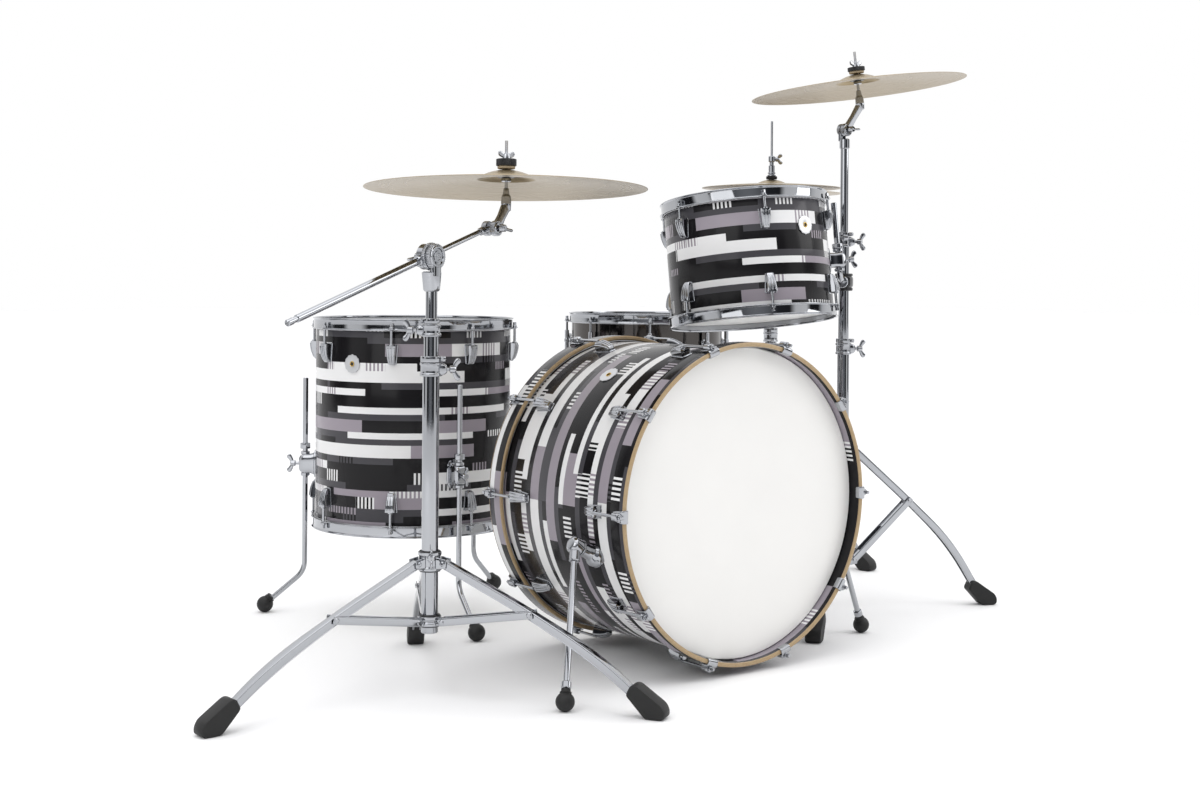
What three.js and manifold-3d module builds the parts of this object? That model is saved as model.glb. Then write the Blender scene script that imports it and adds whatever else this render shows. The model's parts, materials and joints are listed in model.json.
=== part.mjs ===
// An acoustic drum kit set up to play: bass drum with two spurs, floor tom on three legs, rack tom
// hung from a cymbal stand, snare drum in its basket, hi-hat, and two cymbals on chromed stands.
// Millimetres, +Z up. The bass drum's front head faces -Y and the drummer sits on the +Y side.
import * as THREE from 'three';
import { mergeVertices } from 'three/addons/utils/BufferGeometryUtils.js';
import Module from 'manifold-3d';

const wasm = await Module();
wasm.setup();

// ---- Driving dimensions ------------------------------------------------------------------------
const INCH = 25.4;
const GAP = 0.4; // clearance between neighbouring pieces
const PLY = 6; // thickness of a wooden shell
const HEAD_RING = 2; // thickness of the ring round a drum head
const ROD_RADIUS = 3; // tension rods and cymbal rods
const ROD_OFFSET = 11; // tension rods stand this far off the shell
const LUG = { deep: 23, wide: 22, tall: 38 };
const ROD_STOP = LUG.tall / 2 + 0.5; // a rod ends this far from the middle of its lug

const BASS = { radius: 11 * INCH, depth: 14 * INCH, sides: 28, lugCount: 10, axisHeight: 304 };
const FLOOR_TOM = {
  radius: 8 * INCH, depth: 16 * INCH, sides: 24, lugCount: 8, firstLug: 1.8, lugInset: 56,
  centre: [-208, 613, 406], lean: [0, 0, 1],
};
const RACK_TOM = {
  radius: 6.5 * INCH, depth: 9 * INCH, sides: 20, lugCount: 6, firstLug: 0.5, lugInset: 50,
  centre: [290, 120, 744], lean: [0.0036, 0.136, 1],
};
const SNARE = {
  radius: 7 * INCH, depth: 6.5 * INCH, sides: 20, lugCount: 8, firstLug: 8,
  centre: [457, 653, 530.5], lean: [0, 0, 1],
};
const BOOM_STAND = { at: [-542.7, 4.6], legTurn: 182, footReach: 405 };
const STRAIGHT_STAND = { at: [556, 107], legTurn: -25, footReach: 335 };
const HI_HAT = { at: [905.5, 701.2], legTurn: -80, footReach: 295, height: 941 };
const SNARE_STAND = { legTurn: 90, footReach: 250 };
const RIDE = { radius: 10 * INCH, rise: 34, centre: [-350, 65, 867], nut: 24, rodAbove: 52 };
const CRASH = { radius: 9 * INCH, rise: 32, centre: [579, 90, 1117], nut: 20, rodAbove: 48 };
const HATS = { radius: 7 * INCH, rise: 22 };

// ---- Materials ---------------------------------------------------------------------------------
function material(color, roughness, metalness) {
  return new THREE.MeshStandardMaterial({ color, roughness, metalness });
}
const CHROME = material(0xc9ccd0, 0.12, 1);
const BLACK_NICKEL = material(0x3b3a3d, 0.2, 1);
const BRONZE = material(0xb3a28a, 0.3, 1);
const WRAP = material(0x6f6c72, 0.3, 0);
const HOOP_WRAP = material(0x55525a, 0.3, 0);
const MYLAR = material(0xf0efed, 0.5, 0);
const BLACK_PLASTIC = material(0x161616, 0.5, 0);

// ---- Small shape helpers -----------------------------------------------------------------------
const rad = THREE.MathUtils.degToRad;
const vector = (point) => new THREE.Vector3(...point);

// The x and y of a point at a distance from the Z axis, at an angle in degrees.
function polar(reach, angle) {
  return [Math.cos(rad(angle)) * reach, Math.sin(rad(angle)) * reach];
}

// Signed volume times six; it is negative when the faces point inwards.
function signedVolume(points, corners) {
  const [a, b, c] = [new THREE.Vector3(), new THREE.Vector3(), new THREE.Vector3()];
  let sum = 0;
  for (let i = 0; i < corners.length; i += 3) {
    a.fromArray(points, corners[i] * 3);
    b.fromArray(points, corners[i + 1] * 3);
    c.fromArray(points, corners[i + 2] * 3);
    sum += a.dot(b.cross(c));
  }
  return sum;
}

// A closed three.js geometry as a solid, moved by a matrix, with its faces turned outwards.
function toSolid(geometry, matrix = new THREE.Matrix4()) {
  const bare = geometry.clone();
  bare.deleteAttribute('normal');
  bare.deleteAttribute('uv');
  bare.applyMatrix4(matrix);
  const merged = mergeVertices(bare, 1e-4);
  const points = merged.attributes.position.array;
  const index = merged.index.array;
  const corners = [];
  for (let i = 0; i < index.length; i += 3) {
    const [a, b, c] = [index[i], index[i + 1], index[i + 2]];
    if (a !== b && b !== c && c !== a) corners.push(a, b, c);
  }
  if (signedVolume(points, corners) < 0) corners.reverse();
  const mesh = new wasm.Mesh({
    numProp: 3,
    vertProperties: Float32Array.from(points),
    triVerts: Uint32Array.from(corners),
  });
  return new wasm.Manifold(mesh);
}

// Joins solids into one.
function join(...solids) {
  return solids.flat().reduce((all, next) => all.add(next));
}

// A box of a size, centred on a point, the whole turned about Z by an angle in degrees.
function block(size, centre, turn = 0) {
  const matrix = new THREE.Matrix4().makeRotationZ(rad(turn));
  matrix.multiply(new THREE.Matrix4().makeTranslation(...centre));
  return toSolid(new THREE.BoxGeometry(...size), matrix);
}

// A round bar between two points.
function rod(from, to, radius, sides = 8) {
  const [start, end] = [vector(from), vector(to)];
  const along = end.clone().sub(start);
  const turn = new THREE.Quaternion();
  turn.setFromUnitVectors(new THREE.Vector3(0, 1, 0), along.clone().normalize());
  const middle = start.clone().add(end).multiplyScalar(0.5);
  const matrix = new THREE.Matrix4().compose(middle, turn, new THREE.Vector3(1, 1, 1));
  return toSolid(new THREE.CylinderGeometry(radius, radius, along.length(), sides), matrix);
}

// A ball centred on a point.
function ball(radius, centre) {
  const matrix = new THREE.Matrix4().makeTranslation(...centre);
  return toSolid(new THREE.SphereGeometry(radius, 8, 6), matrix);
}

// A turned solid about Z from [radius, height] points. The profile starts and ends on the axis,
// or closes on itself.
function turned(profile, sides, centre = [0, 0, 0]) {
  const geometry = new THREE.LatheGeometry(profile.map(([r, z]) => new THREE.Vector2(r, z)), sides);
  geometry.rotateX(Math.PI / 2);
  return toSolid(geometry, new THREE.Matrix4().makeTranslation(...centre));
}

// A hollow tube standing on Z.
function tube(outer, inner, bottom, top, sides = 8) {
  return turned([[inner, bottom], [outer, bottom], [outer, top], [inner, top], [inner, bottom]], sides);
}

// A flat outline of [reach, height] points in the XZ plane, given a width along Y.
function slab(outline, width, turn = 0) {
  const shape = new THREE.Shape(outline.map(([x, y]) => new THREE.Vector2(x, y)));
  const geometry = new THREE.ExtrudeGeometry(shape, { depth: width, bevelEnabled: false });
  geometry.rotateX(Math.PI / 2);
  geometry.translate(0, width / 2, 0);
  return toSolid(geometry, new THREE.Matrix4().makeRotationZ(rad(turn)));
}

// A wing bolt: a short shank along a direction with a flat wing across its end.
function wingBolt(from, direction, shank = 16, span = 30) {
  const along = vector(direction).normalize();
  const start = vector(from);
  const end = start.clone().addScaledVector(along, shank);
  const tip = end.clone().addScaledVector(along, 12);
  const side = new THREE.Vector3(0, 0, 1).cross(along);
  if (side.length() < 0.1) side.set(1, 0, 0);
  side.normalize().multiplyScalar(span / 2);
  const wing = rod(tip.clone().sub(side).toArray(), tip.clone().add(side).toArray(), 4, 5);
  return join(rod(start.toArray(), tip.toArray(), 5, 6), wing);
}

// Angles of pieces set evenly round a circle, in degrees.
function around(count, first) {
  return Array.from({ length: count }, (_, i) => first + (360 / count) * i);
}

// Adds a named mesh holding one solid.
function addPiece(parent, name, solid, look) {
  const { vertProperties, triVerts } = solid.getMesh();
  const geometry = new THREE.BufferGeometry();
  geometry.setAttribute('position', new THREE.BufferAttribute(vertProperties, 3));
  geometry.setIndex(new THREE.BufferAttribute(triVerts, 1));
  geometry.computeVertexNormals();
  const mesh = new THREE.Mesh(geometry, look.clone());
  mesh.name = name;
  parent.add(mesh);
  return mesh;
}

// A group whose local Z points along a direction and whose origin is at a point.
function placedGroup(parent, centre, direction) {
  const group = new THREE.Group();
  group.position.set(...centre);
  group.quaternion.setFromUnitVectors(new THREE.Vector3(0, 0, 1), vector(direction).normalize());
  parent.add(group);
  return group;
}

// ---- Drums -------------------------------------------------------------------------------------
// The shell is an open tube along local Z, centred on the origin.
function shellTube({ radius, depth, sides }, wall = PLY) {
  return tube(radius, radius - wall, -depth / 2, depth / 2, sides);
}

// A head is a thin disc over the shell's edge with a ring round the outside of the shell.
// The end is +1 for the upper head and -1 for the lower one.
function head({ radius, depth, sides }, end) {
  const edge = depth / 2;
  const outer = radius + 0.5 + HEAD_RING;
  const profile = [
    [0, edge + GAP], [0, edge + 1.3], [outer, edge + 1.3], [outer, edge - 10],
    [radius + 0.5, edge - 10], [radius + 0.5, edge + GAP], [0, edge + GAP],
  ];
  return turned(profile.map(([r, z]) => [r, z * end]), sides);
}

// A flanged steel hoop round a head, with its tension rods reaching to just short of the lugs.
function flangedHoop({ radius, depth, sides, lugCount, firstLug }, end, rodLength) {
  const edge = depth / 2;
  const inner = radius + 2.9;
  const profile = [
    [inner, edge - 9], [radius + 15, edge - 9], [radius + 15, edge - 7], [inner + 2, edge - 7],
    [inner + 2, edge + 14], [inner, edge + 14], [inner, edge - 9],
  ];
  const ring = turned(profile.map(([r, z]) => [r, z * end]), sides);
  const rods = around(lugCount, firstLug).map((angle) => {
    const [x, y] = polar(radius + ROD_OFFSET, angle);
    return rod([x, y, end * (edge + 4)], [x, y, end * (edge - rodLength)], ROD_RADIUS, 5);
  });
  return join(ring, rods);
}

// Cast lugs in two rows, set in from the shell's edges.
function castLugs({ radius, depth, lugCount, firstLug, lugInset }) {
  return around(lugCount, firstLug).flatMap((angle) => [-1, 1].map((end) => {
    const height = end * (depth / 2 - lugInset);
    return block([LUG.deep, LUG.wide, LUG.tall], [radius - 3 + LUG.deep / 2, 0, height], angle);
  }));
}

// The four loose rings and discs of a tom or snare: two heads and two hoops.
function addHeadsAndHoops(group, name, drum, rodLength) {
  for (const [side, end] of [['top', 1], ['bottom', -1]]) {
    addPiece(group, `${name}_${side}_head`, head(drum, end), MYLAR);
    addPiece(group, `${name}_${side}_hoop`, flangedHoop(drum, end, rodLength), CHROME);
  }
}

// ---- Bass drum ---------------------------------------------------------------------------------
const BASS_LUG_INSET = 68;
const SPUR_OUTWARD = 25; // degrees that a spur leans out from upright
const SPUR_BALL = 16; // radius of its rubber foot
const SPUR_PIVOT = [313.6, -100, 245.3]; // pivot of the right spur; the left one mirrors it
const SPURS = [['spur_left', -1, 25], ['spur_right', 1, -5]]; // name, side, degrees swung forward

// A spur's hinge axis, pointing away from the drum.
function spurAxis(side) {
  return new THREE.Vector3(side * Math.cos(rad(SPUR_OUTWARD)), 0, Math.sin(rad(SPUR_OUTWARD)));
}

// The stub on the shell that carries a spur, in kit coordinates.
function spurStub(side) {
  const pivot = vector([side * SPUR_PIVOT[0], SPUR_PIVOT[1], SPUR_PIVOT[2]]);
  const axis = spurAxis(side);
  const start = pivot.clone().addScaledVector(axis, -10 - GAP);
  const end = pivot.clone().addScaledVector(axis, -57);
  return rod(start.toArray(), end.toArray(), 13);
}

function addSpur(parent, name, side, forward) {
  const pivot = vector([side * SPUR_PIVOT[0], SPUR_PIVOT[1], SPUR_PIVOT[2]]);
  const axis = spurAxis(side);
  const down = new THREE.Vector3(side * Math.sin(rad(SPUR_OUTWARD)), 0, -Math.cos(rad(SPUR_OUTWARD)));
  down.multiplyScalar(Math.cos(rad(forward))).add(new THREE.Vector3(0, -Math.sin(rad(forward)), 0));
  const length = (pivot.z - SPUR_BALL) / -down.z;
  const foot = pivot.clone().addScaledVector(down, length);
  const inner = pivot.clone().addScaledVector(axis, -10).toArray();
  const outer = pivot.clone().addScaledVector(axis, 12).toArray();
  const collar = pivot.clone().addScaledVector(down, length - 26).toArray();
  const solids = [
    rod(inner, outer, 15), rod(pivot.toArray(), foot.toArray(), 5.5, 8),
    rod(collar, foot.toArray(), 9), ball(SPUR_BALL, foot.toArray()),
  ];
  addPiece(parent, name, join(solids), CHROME);
}

// The wooden hoop with a claw and a key rod at each lug.
function bassHoop(end) {
  const { radius, depth, sides, lugCount } = BASS;
  const edge = depth / 2;
  const [inner, outer, front] = [radius + 2.9, radius + 11, edge + 26];
  const rodEnd = edge - BASS_LUG_INSET + ROD_STOP;
  const profile = [
    [inner, edge - 12], [outer, edge - 12], [outer, front], [inner, front], [inner, edge - 12],
  ];
  const ring = turned(profile.map(([r, z]) => [r, z * end]), sides);
  const claws = around(lugCount, 0).flatMap((angle) => {
    const [x, y] = polar(radius + 18, angle);
    return [
      block([20, 20, 4], [outer - 4, 0, end * (front + 1)], angle),
      block([12, 20, 30], [outer + 5, 0, end * (front - 12)], angle),
      rod([x, y, end * (front - 8)], [x, y, end * rodEnd], ROD_RADIUS, 5),
    ];
  });
  return join(ring, claws);
}

function addBassDrum(parent) {
  const upright = new THREE.Matrix4().makeRotationX(Math.PI / 2);
  const group = new THREE.Group();
  group.applyMatrix4(upright);
  group.position.z = BASS.axisHeight;
  parent.add(group);
  const lugs = castLugs({ ...BASS, firstLug: 0, lugInset: BASS_LUG_INSET });
  const shell = join(shellTube(BASS), lugs);
  const toLocal = new THREE.Matrix4().makeTranslation(0, 0, BASS.axisHeight).multiply(upright).invert();
  const stubs = [-1, 1].map((side) => spurStub(side).transform(toLocal.elements));
  addPiece(group, 'bass_shell', join(shell, stubs), WRAP);
  for (const [side, end] of [['front', 1], ['rear', -1]]) {
    addPiece(group, `bass_${side}_head`, head(BASS, end), MYLAR);
    addPiece(group, `bass_${side}_hoop`, bassHoop(end), HOOP_WRAP);
  }
  for (const [name, side, forward] of SPURS) addSpur(parent, name, side, forward);
}

// ---- Floor tom ---------------------------------------------------------------------------------
const TOM_LEG = { first: 142.5, offset: 24, radius: 5.5, top: 494, bend: 88, out: 83, ball: 17 };
const TOM_BRACKET_HEIGHT = 314;

function addFloorTom(parent) {
  const group = placedGroup(parent, FLOOR_TOM.centre, FLOOR_TOM.lean);
  const reach = FLOOR_TOM.radius + TOM_LEG.offset;
  const bracketHeight = TOM_BRACKET_HEIGHT - FLOOR_TOM.centre[2];
  const brackets = around(3, TOM_LEG.first).map((angle) => {
    const body = block([40, 28, 46], [reach - 6, 0, bracketHeight], angle);
    const [x, y] = polar(reach, angle);
    const bore = TOM_LEG.radius * 1.09 + GAP; // an eight-sided hole has to clear the leg at its flats
    const hole = rod([x, y, bracketHeight - 30], [x, y, bracketHeight + 30], bore);
    const screw = wingBolt([...polar(reach + 13, angle), bracketHeight], [...polar(1, angle), 0], 10);
    return body.add(screw).subtract(hole);
  });
  addPiece(group, 'floor_tom_shell', join(shellTube(FLOOR_TOM), castLugs(FLOOR_TOM), brackets), WRAP);
  addHeadsAndHoops(group, 'floor_tom', FLOOR_TOM, FLOOR_TOM.lugInset - ROD_STOP);
  around(3, TOM_LEG.first).forEach((angle, i) => addTomLeg(parent, `floor_tom_leg_${i + 1}`, angle));
}

// A leg: an upright rod, bent outwards near the floor, ending in a round rubber foot.
function addTomLeg(parent, name, angle) {
  const reach = FLOOR_TOM.radius + TOM_LEG.offset;
  const foot = [reach + TOM_LEG.out, 0, TOM_LEG.ball];
  const solid = join(
    rod([reach, 0, TOM_LEG.top], [reach, 0, TOM_LEG.bend], TOM_LEG.radius, 8),
    ball(TOM_LEG.radius, [reach, 0, TOM_LEG.bend]),
    rod([reach, 0, TOM_LEG.bend], foot, TOM_LEG.radius, 8),
    ball(TOM_LEG.ball, foot),
  );
  const mesh = addPiece(parent, name, solid, CHROME);
  mesh.position.set(FLOOR_TOM.centre[0], FLOOR_TOM.centre[1], 0);
  mesh.rotation.z = rad(angle);
}

// ---- Cymbals -----------------------------------------------------------------------------------
// A cymbal is a bowed disc with a bell, its edge at local z = 0 and its hole on the axis.
function cymbal({ radius, rise }, sides = 24, thickness = 1.6) {
  const upper = [
    [6.5, rise], [24, rise - 2.5], [radius * 0.2, rise * 0.55], [radius * 0.6, rise * 0.3], [radius, 0],
  ];
  const lower = upper.map(([r, z]) => [r, z - thickness]).reverse();
  return turned([...upper, ...lower, upper[0]], sides);
}

// The sleeve and felts over a cymbal with the wing nut on top, standing on the bell.
function cymbalNut({ rise, nut }) {
  const [base, bore] = [rise + 1.5, ROD_RADIUS + GAP];
  const wing = block([30, 7, 12], [0, 0, base + nut]).subtract(rod([0, 0, 0], [0, 0, 200], bore));
  return join(tube(16, bore, base, base + 5), tube(18, bore, base + 5, base + nut - 5), wing);
}

// The rod that carries a cymbal, with the lower felt and its cup, from a height below the edge.
function cymbalRod({ rise, rodAbove }, bottom) {
  const felt = rise - 1.6 - 2.3; // low enough for the cymbal to rock
  return join(
    rod([0, 0, bottom], [0, 0, rise + rodAbove], ROD_RADIUS),
    rod([0, 0, felt - 8], [0, 0, felt], 13), rod([0, 0, felt - 14], [0, 0, felt - 8], 9),
  );
}

// Two level directions across the kit, towards the stands on the right and towards the drummer.
const LATERAL = vector([0.7932, -0.6089, 0]);
const AWAY = vector([0.6089, 0.7932, 0]);

// The upward direction of a cymbal that leans by two angles in degrees.
function tiltedUp(away, lateral) {
  const up = new THREE.Vector3(0, 0, 1);
  up.addScaledVector(AWAY, Math.tan(rad(away))).addScaledVector(LATERAL, Math.tan(rad(lateral)));
  return up.normalize().toArray();
}
const RIDE_UP = tiltedUp(2.2, 0);
const CRASH_UP = tiltedUp(0, -6.4);

// ---- Tripods and tubes -------------------------------------------------------------------------
const HUB = { reach: 28, height: 225 }; // pivot of a leg on the sliding hub
const COLLAR = { reach: 28, height: 127 }; // pivot of a brace on the lower collar
const KNEE = { reach: 187, height: 151 }; // where a brace meets a leg
const LEG_WIDTH = 16;

// Side view of a leg: straight to the knee, then bowed down to the floor, 14 mm deep.
function legOutline(top, knee, reach) {
  const slope = Math.atan2(top.height - knee.height, knee.reach - top.reach);
  const [ox, oy] = [Math.sin(slope) * 7, Math.cos(slope) * 7];
  const mid = [knee.reach + (reach - knee.reach) * 0.52, knee.height * 0.6];
  return [
    [top.reach - oy, top.height], [top.reach + ox, top.height + oy], [knee.reach + ox, knee.height + oy],
    [mid[0] + 6, mid[1] + 6], [reach - 12, 26], [reach - 24, 18], [mid[0] - 6, mid[1] - 6],
    [knee.reach - ox, knee.height - oy], [top.reach - ox, top.height - oy],
  ];
}

// The wedge-shaped rubber foot at a leg's end, in side view.
function footOutline(reach) {
  return [
    [reach - 48, 38], [reach - 38, 56], [reach + 16, 20],
    [reach + 20, 4], [reach + 14, 0], [reach - 14, 0],
  ];
}

function leg(top, knee, reach, turn = 0) {
  return join(slab(legOutline(top, knee, reach), LEG_WIDTH, turn), slab(footOutline(reach), 32, turn));
}

// A brace: two strips, one each side of the leg, joined by a web, from collar to knee.
function brace(from, to, turn = 0) {
  const slope = Math.atan2(to.height - from.height, to.reach - from.reach);
  const [ax, az] = [Math.cos(slope), Math.sin(slope)];
  const length = Math.hypot(to.reach - from.reach, to.height - from.height);
  const at = (s, d) => [from.reach + ax * s - az * d, from.height + az * s + ax * d];
  const strip = [at(-7, -7), at(length + 7, -7), at(length + 7, 7), at(-7, 7)];
  const spread = LEG_WIDTH + 8;
  const slot = [at(-20, -4), at(length + 20, -4), at(length + 20, 12), at(-20, 12)];
  const webEnd = length * 0.6;
  const web = [at(14, -7), at(webEnd, -7), at(webEnd, -4), at(14, -4)];
  const ends = [
    [at(-20, -9), at(14, -9), at(14, 12), at(-20, 12)],
    [at(webEnd, -9), at(length + 20, -9), at(length + 20, 12), at(webEnd, 12)],
  ];
  const channel = join(slab(strip, spread, turn), slab(web, spread, turn));
  const cuts = [slot, ...ends].map((outline) => slab(outline, LEG_WIDTH + 3, turn));
  return channel.subtract(join(cuts));
}

// A collar round a tube with three tabs, each as wide as will fit between two strips.
function tabbedCollar(bore, outer, bottom, top, pivot, tab, turns) {
  const size = [pivot.reach - outer + 14, tab, 14];
  const tabs = turns.map((turn) => block(size, [(pivot.reach + outer) / 2 - 1, 0, pivot.height], turn));
  const hole = rod([0, 0, bottom - 50], [0, 0, top + 50], bore);
  return join(tube(outer, outer - 4, bottom, top), tabs).subtract(hole);
}

// A collar that clamps the tube sliding inside another one, with a wing bolt at its side.
function clampCollar(bore, outer, bottom, top, turn) {
  const ring = tube(outer, bore, bottom, top);
  const start = [...polar(outer - 1.5, turn), (bottom + top) / 2];
  return join(ring, wingBolt(start, [...polar(1, turn), 0]));
}

// ---- Boom stand --------------------------------------------------------------------------------
const BOOM = { turn: 18.4, rise: 17.8, back: 350, ahead: 172, clampHeight: 742, radius: 4.75 };
const BOOM_SIDE = 9; // the boom runs this far to the side of the stand's axis
const BOOM_TUBES = { base: [14.3, 13.1], mid: [12.7, 10.4], top: [9.9, 8] }; // outer, inner radius
const HUB_BOLT_TURN = -118;

function addBoomStand(parent) {
  const group = new THREE.Group();
  group.position.set(...BOOM_STAND.at, 0);
  parent.add(group);
  const turns = around(3, BOOM_STAND.legTurn);
  const { base, mid, top } = BOOM_TUBES;
  addPiece(group, 'boom_stand_base', join(
    tube(base[0], base[1], 108, 552), clampCollar(base[1], 19, 540, 563, -40),
    tabbedCollar(base[1], 20, 120, 134, COLLAR, LEG_WIDTH - 4, turns),
  ), CHROME);
  const hubBolt = wingBolt([...polar(18, HUB_BOLT_TURN), 236], [...polar(1, HUB_BOLT_TURN), 0], 12, 26);
  const hub = join(tube(20, base[0] + GAP, 212, 243), hubEars(turns), hubBolt);
  addPiece(group, 'boom_stand_hub', hub, CHROME);
  turns.forEach((turn, i) => {
    const solid = leg(HUB, KNEE, BOOM_STAND.footReach);
    const legMesh = addPiece(group, `boom_stand_leg_${i + 1}`, solid, CHROME);
    legMesh.rotation.z = rad(turn);
    const braceMesh = addPiece(group, `boom_stand_brace_${i + 1}`, brace(COLLAR, KNEE), CHROME);
    braceMesh.rotation.z = rad(turn);
  });
  addPiece(group, 'boom_stand_middle_tube', join(
    tube(mid[0], mid[1], 380, 617), clampCollar(mid[1], 17, 607, 628, 140),
    tube(18, mid[0] - 1, 563 + GAP, 574),
  ), CHROME);
  addBoomArm(group);
}

// Pairs of ears on the sliding hub, one each side of every leg's end.
function hubEars(turns) {
  const across = LEG_WIDTH / 2 + 2;
  return turns.flatMap((turn) => [-1, 1].map((side) => (
    block([24, 3, 20], [HUB.reach - 4, side * across, HUB.height], turn))));
}

// The top tube with its ear, the clamp, the boom rod through it, and the tilter with the ride.
function addBoomArm(group) {
  const { top } = BOOM_TUBES;
  const turn = rad(BOOM.turn);
  const across = vector([-Math.sin(turn), Math.cos(turn), 0]);
  const along = vector([...polar(Math.cos(rad(BOOM.rise)), BOOM.turn), Math.sin(rad(BOOM.rise))]);
  const centre = vector([0, 0, BOOM.clampHeight]);
  // A point set off from the clamp's centre, sideways and along the boom.
  const off = (aside, ahead = 0) => (
    centre.clone().addScaledVector(across, aside).addScaledVector(along, ahead).toArray());
  addPiece(group, 'boom_stand_top_tube', join(
    tube(top[0], top[1], 470, 700), rod([0, 0, 690], [0, 0, 716], 14),
    block([22, 11, 30], [0, -8.5, 722], BOOM.turn), rod(off(-14), off(-3), 22),
    tube(14, top[0] - 1, 628 + GAP, 638),
  ), CHROME);
  const hole = rod(off(BOOM_SIDE, -60), off(BOOM_SIDE, 60), BOOM.radius + GAP);
  addPiece(group, 'boom_clamp', join(
    rod(off(-3 + GAP), off(20), 24, 16), wingBolt(off(19), across.toArray(), 8),
  ).subtract(hole), CHROME);
  addPiece(group, 'boom_rod', join(
    rod(off(BOOM_SIDE, -BOOM.back), off(BOOM_SIDE, BOOM.ahead), BOOM.radius),
    rod(off(BOOM_SIDE, -BOOM.back + 22), off(BOOM_SIDE, -32), 6.35),
    rod(off(BOOM_SIDE - 5, BOOM.ahead), off(BOOM_SIDE + 5, BOOM.ahead), 13),
  ), CHROME);
  addRide(group, vector(off(BOOM_SIDE, BOOM.ahead)), across);
}

// A group standing at a cymbal, with a function that gives points near its tilter's pivot, which is
// in the stand's coordinates, set off along a direction.
function cymbalGroup(stand, { centre: place }, up, pivot, across) {
  const group = placedGroup(stand.parent, place, up);
  const toLocal = new THREE.Matrix4().compose(group.position, group.quaternion, group.scale).invert();
  const kitPivot = pivot.clone().add(stand.position);
  const local = (aside) => kitPivot.clone().addScaledVector(across, aside).applyMatrix4(toLocal).toArray();
  return { group, local };
}

// The ride's tilter faces the disc at the boom's end; its rod carries the cymbal.
function addRide(stand, pivot, across) {
  const { group, local } = cymbalGroup(stand, RIDE, RIDE_UP, pivot, across);
  const plate = rod(local(-5 - GAP), local(-16), 14);
  const elbow = rod(local(-12), [0, 0, -32], 5.5);
  addPiece(group, 'ride_tilter', join(
    plate, elbow, rod([0, 0, -36], [0, 0, -8], 6.5), cymbalRod(RIDE, -30),
    wingBolt(local(-16), across.clone().negate().toArray(), 8, 28),
  ), CHROME);
  addPiece(group, 'ride_cymbal', cymbal(RIDE), BRONZE);
  addPiece(group, 'ride_nut', cymbalNut(RIDE), BLACK_PLASTIC);
}

// ---- Straight stand with the crash and the rack tom's clamp ------------------------------------
const STRAIGHT = {
  hub: { reach: 24, height: 345 }, knee: { reach: 150, height: 232 }, collar: { reach: 24, height: 107 },
};
const STRAIGHT_TUBES = { base: [12.7, 11.6], mid: [11.1, 9.2], top: [8.7, 7] };
const CRASH_PIVOT = [0, 0, 1029];
const CLAMP_HEIGHT = 703;
const TOM_BRACKET_TURN = -29.5;
const BRACKET_OUT = 26; // the rack tom's arm stands this far off its shell
const ARM_START = 29.5; // the arm leaves the clamp this far from the stand's axis

// A base tube with three legs and braces fused to it, its bore left open from end to end.
function fusedTripod(sizes, reach, turns, [outer, inner], [bottom, top], hubOuter) {
  const solids = [
    tube(outer, inner, bottom, top),
    tube(hubOuter, outer - 1, sizes.hub.height - 14, sizes.hub.height + 16),
    tube(hubOuter, outer - 1, sizes.collar.height - 8, sizes.collar.height + 8),
  ];
  for (const turn of turns) {
    solids.push(leg(sizes.hub, sizes.knee, reach, turn));
    const [start, collarHeight] = [sizes.collar.reach - 8, sizes.collar.height];
    const [end, kneeHeight] = [sizes.knee.reach, sizes.knee.height];
    solids.push(slab([
      [start, collarHeight - 5], [end, kneeHeight - 5], [end, kneeHeight + 5], [start, collarHeight + 5],
    ], 18, turn));
    solids.push(block([16, 20, 20], [outer + 6, 0, sizes.hub.height], turn));
  }
  return join(solids).subtract(rod([0, 0, bottom - 1], [0, 0, top + 1], inner));
}

function addStraightStand(parent) {
  const group = new THREE.Group();
  group.position.set(...STRAIGHT_STAND.at, 0);
  parent.add(group);
  const { base, mid, top } = STRAIGHT_TUBES;
  const turns = around(3, STRAIGHT_STAND.legTurn);
  const tripod = fusedTripod(STRAIGHT, STRAIGHT_STAND.footReach, turns, base, [95, 560], 17);
  addPiece(group, 'straight_stand_tripod', join(tripod, clampCollar(base[1], 17, 548, 572, -30)), CHROME);
  addPiece(group, 'straight_stand_middle_tube', join(
    tube(mid[0], mid[1], 360, 790), clampCollar(mid[1], 15.5, 778, 800, -60),
    tube(16, mid[0] - 1, 572 + GAP, 582),
  ), CHROME);
  addPiece(group, 'straight_stand_top_tube', join(
    tube(top[0], top[1], 600, 1000), rod([0, 0, 990], [0, 0, 1010], 11),
    block([18, 9, 28], [0, 7.5, 1016]), rod([0, 3, CRASH_PIVOT[2]], [0, 12, CRASH_PIVOT[2]], 13),
    tube(13, top[0] - 1, 800 + GAP, 810),
  ), CHROME);
  addCrash(group, vector(CRASH_PIVOT));
  addTomClamp(group);
}

// The crash's tilter faces the disc at the top of the straight stand.
function addCrash(stand, pivot) {
  const { group, local } = cymbalGroup(stand, CRASH, CRASH_UP, pivot, vector([0, 1, 0]));
  addPiece(group, 'crash_tilter', join(
    rod(local(3 - GAP), local(-9), 13), rod(local(-4), [0, 0, -38], 7),
    rod([0, 0, -42], [0, 0, -12], 6.5), cymbalRod(CRASH, -34), wingBolt(local(-8), [0, -1, 0], 8, 28),
  ), CHROME);
  addPiece(group, 'crash_cymbal', cymbal(CRASH), BRONZE);
  addPiece(group, 'crash_nut', cymbalNut(CRASH), BLACK_PLASTIC);
}

// The angle, in degrees, at which the rack tom's bracket lies as seen from the stand's axis.
function armTurn() {
  const [outX, outY] = polar(RACK_TOM.radius + BRACKET_OUT, TOM_BRACKET_TURN);
  const x = RACK_TOM.centre[0] + outX - STRAIGHT_STAND.at[0];
  const y = RACK_TOM.centre[1] + outY - STRAIGHT_STAND.at[1];
  return THREE.MathUtils.radToDeg(Math.atan2(y, x));
}

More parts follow.
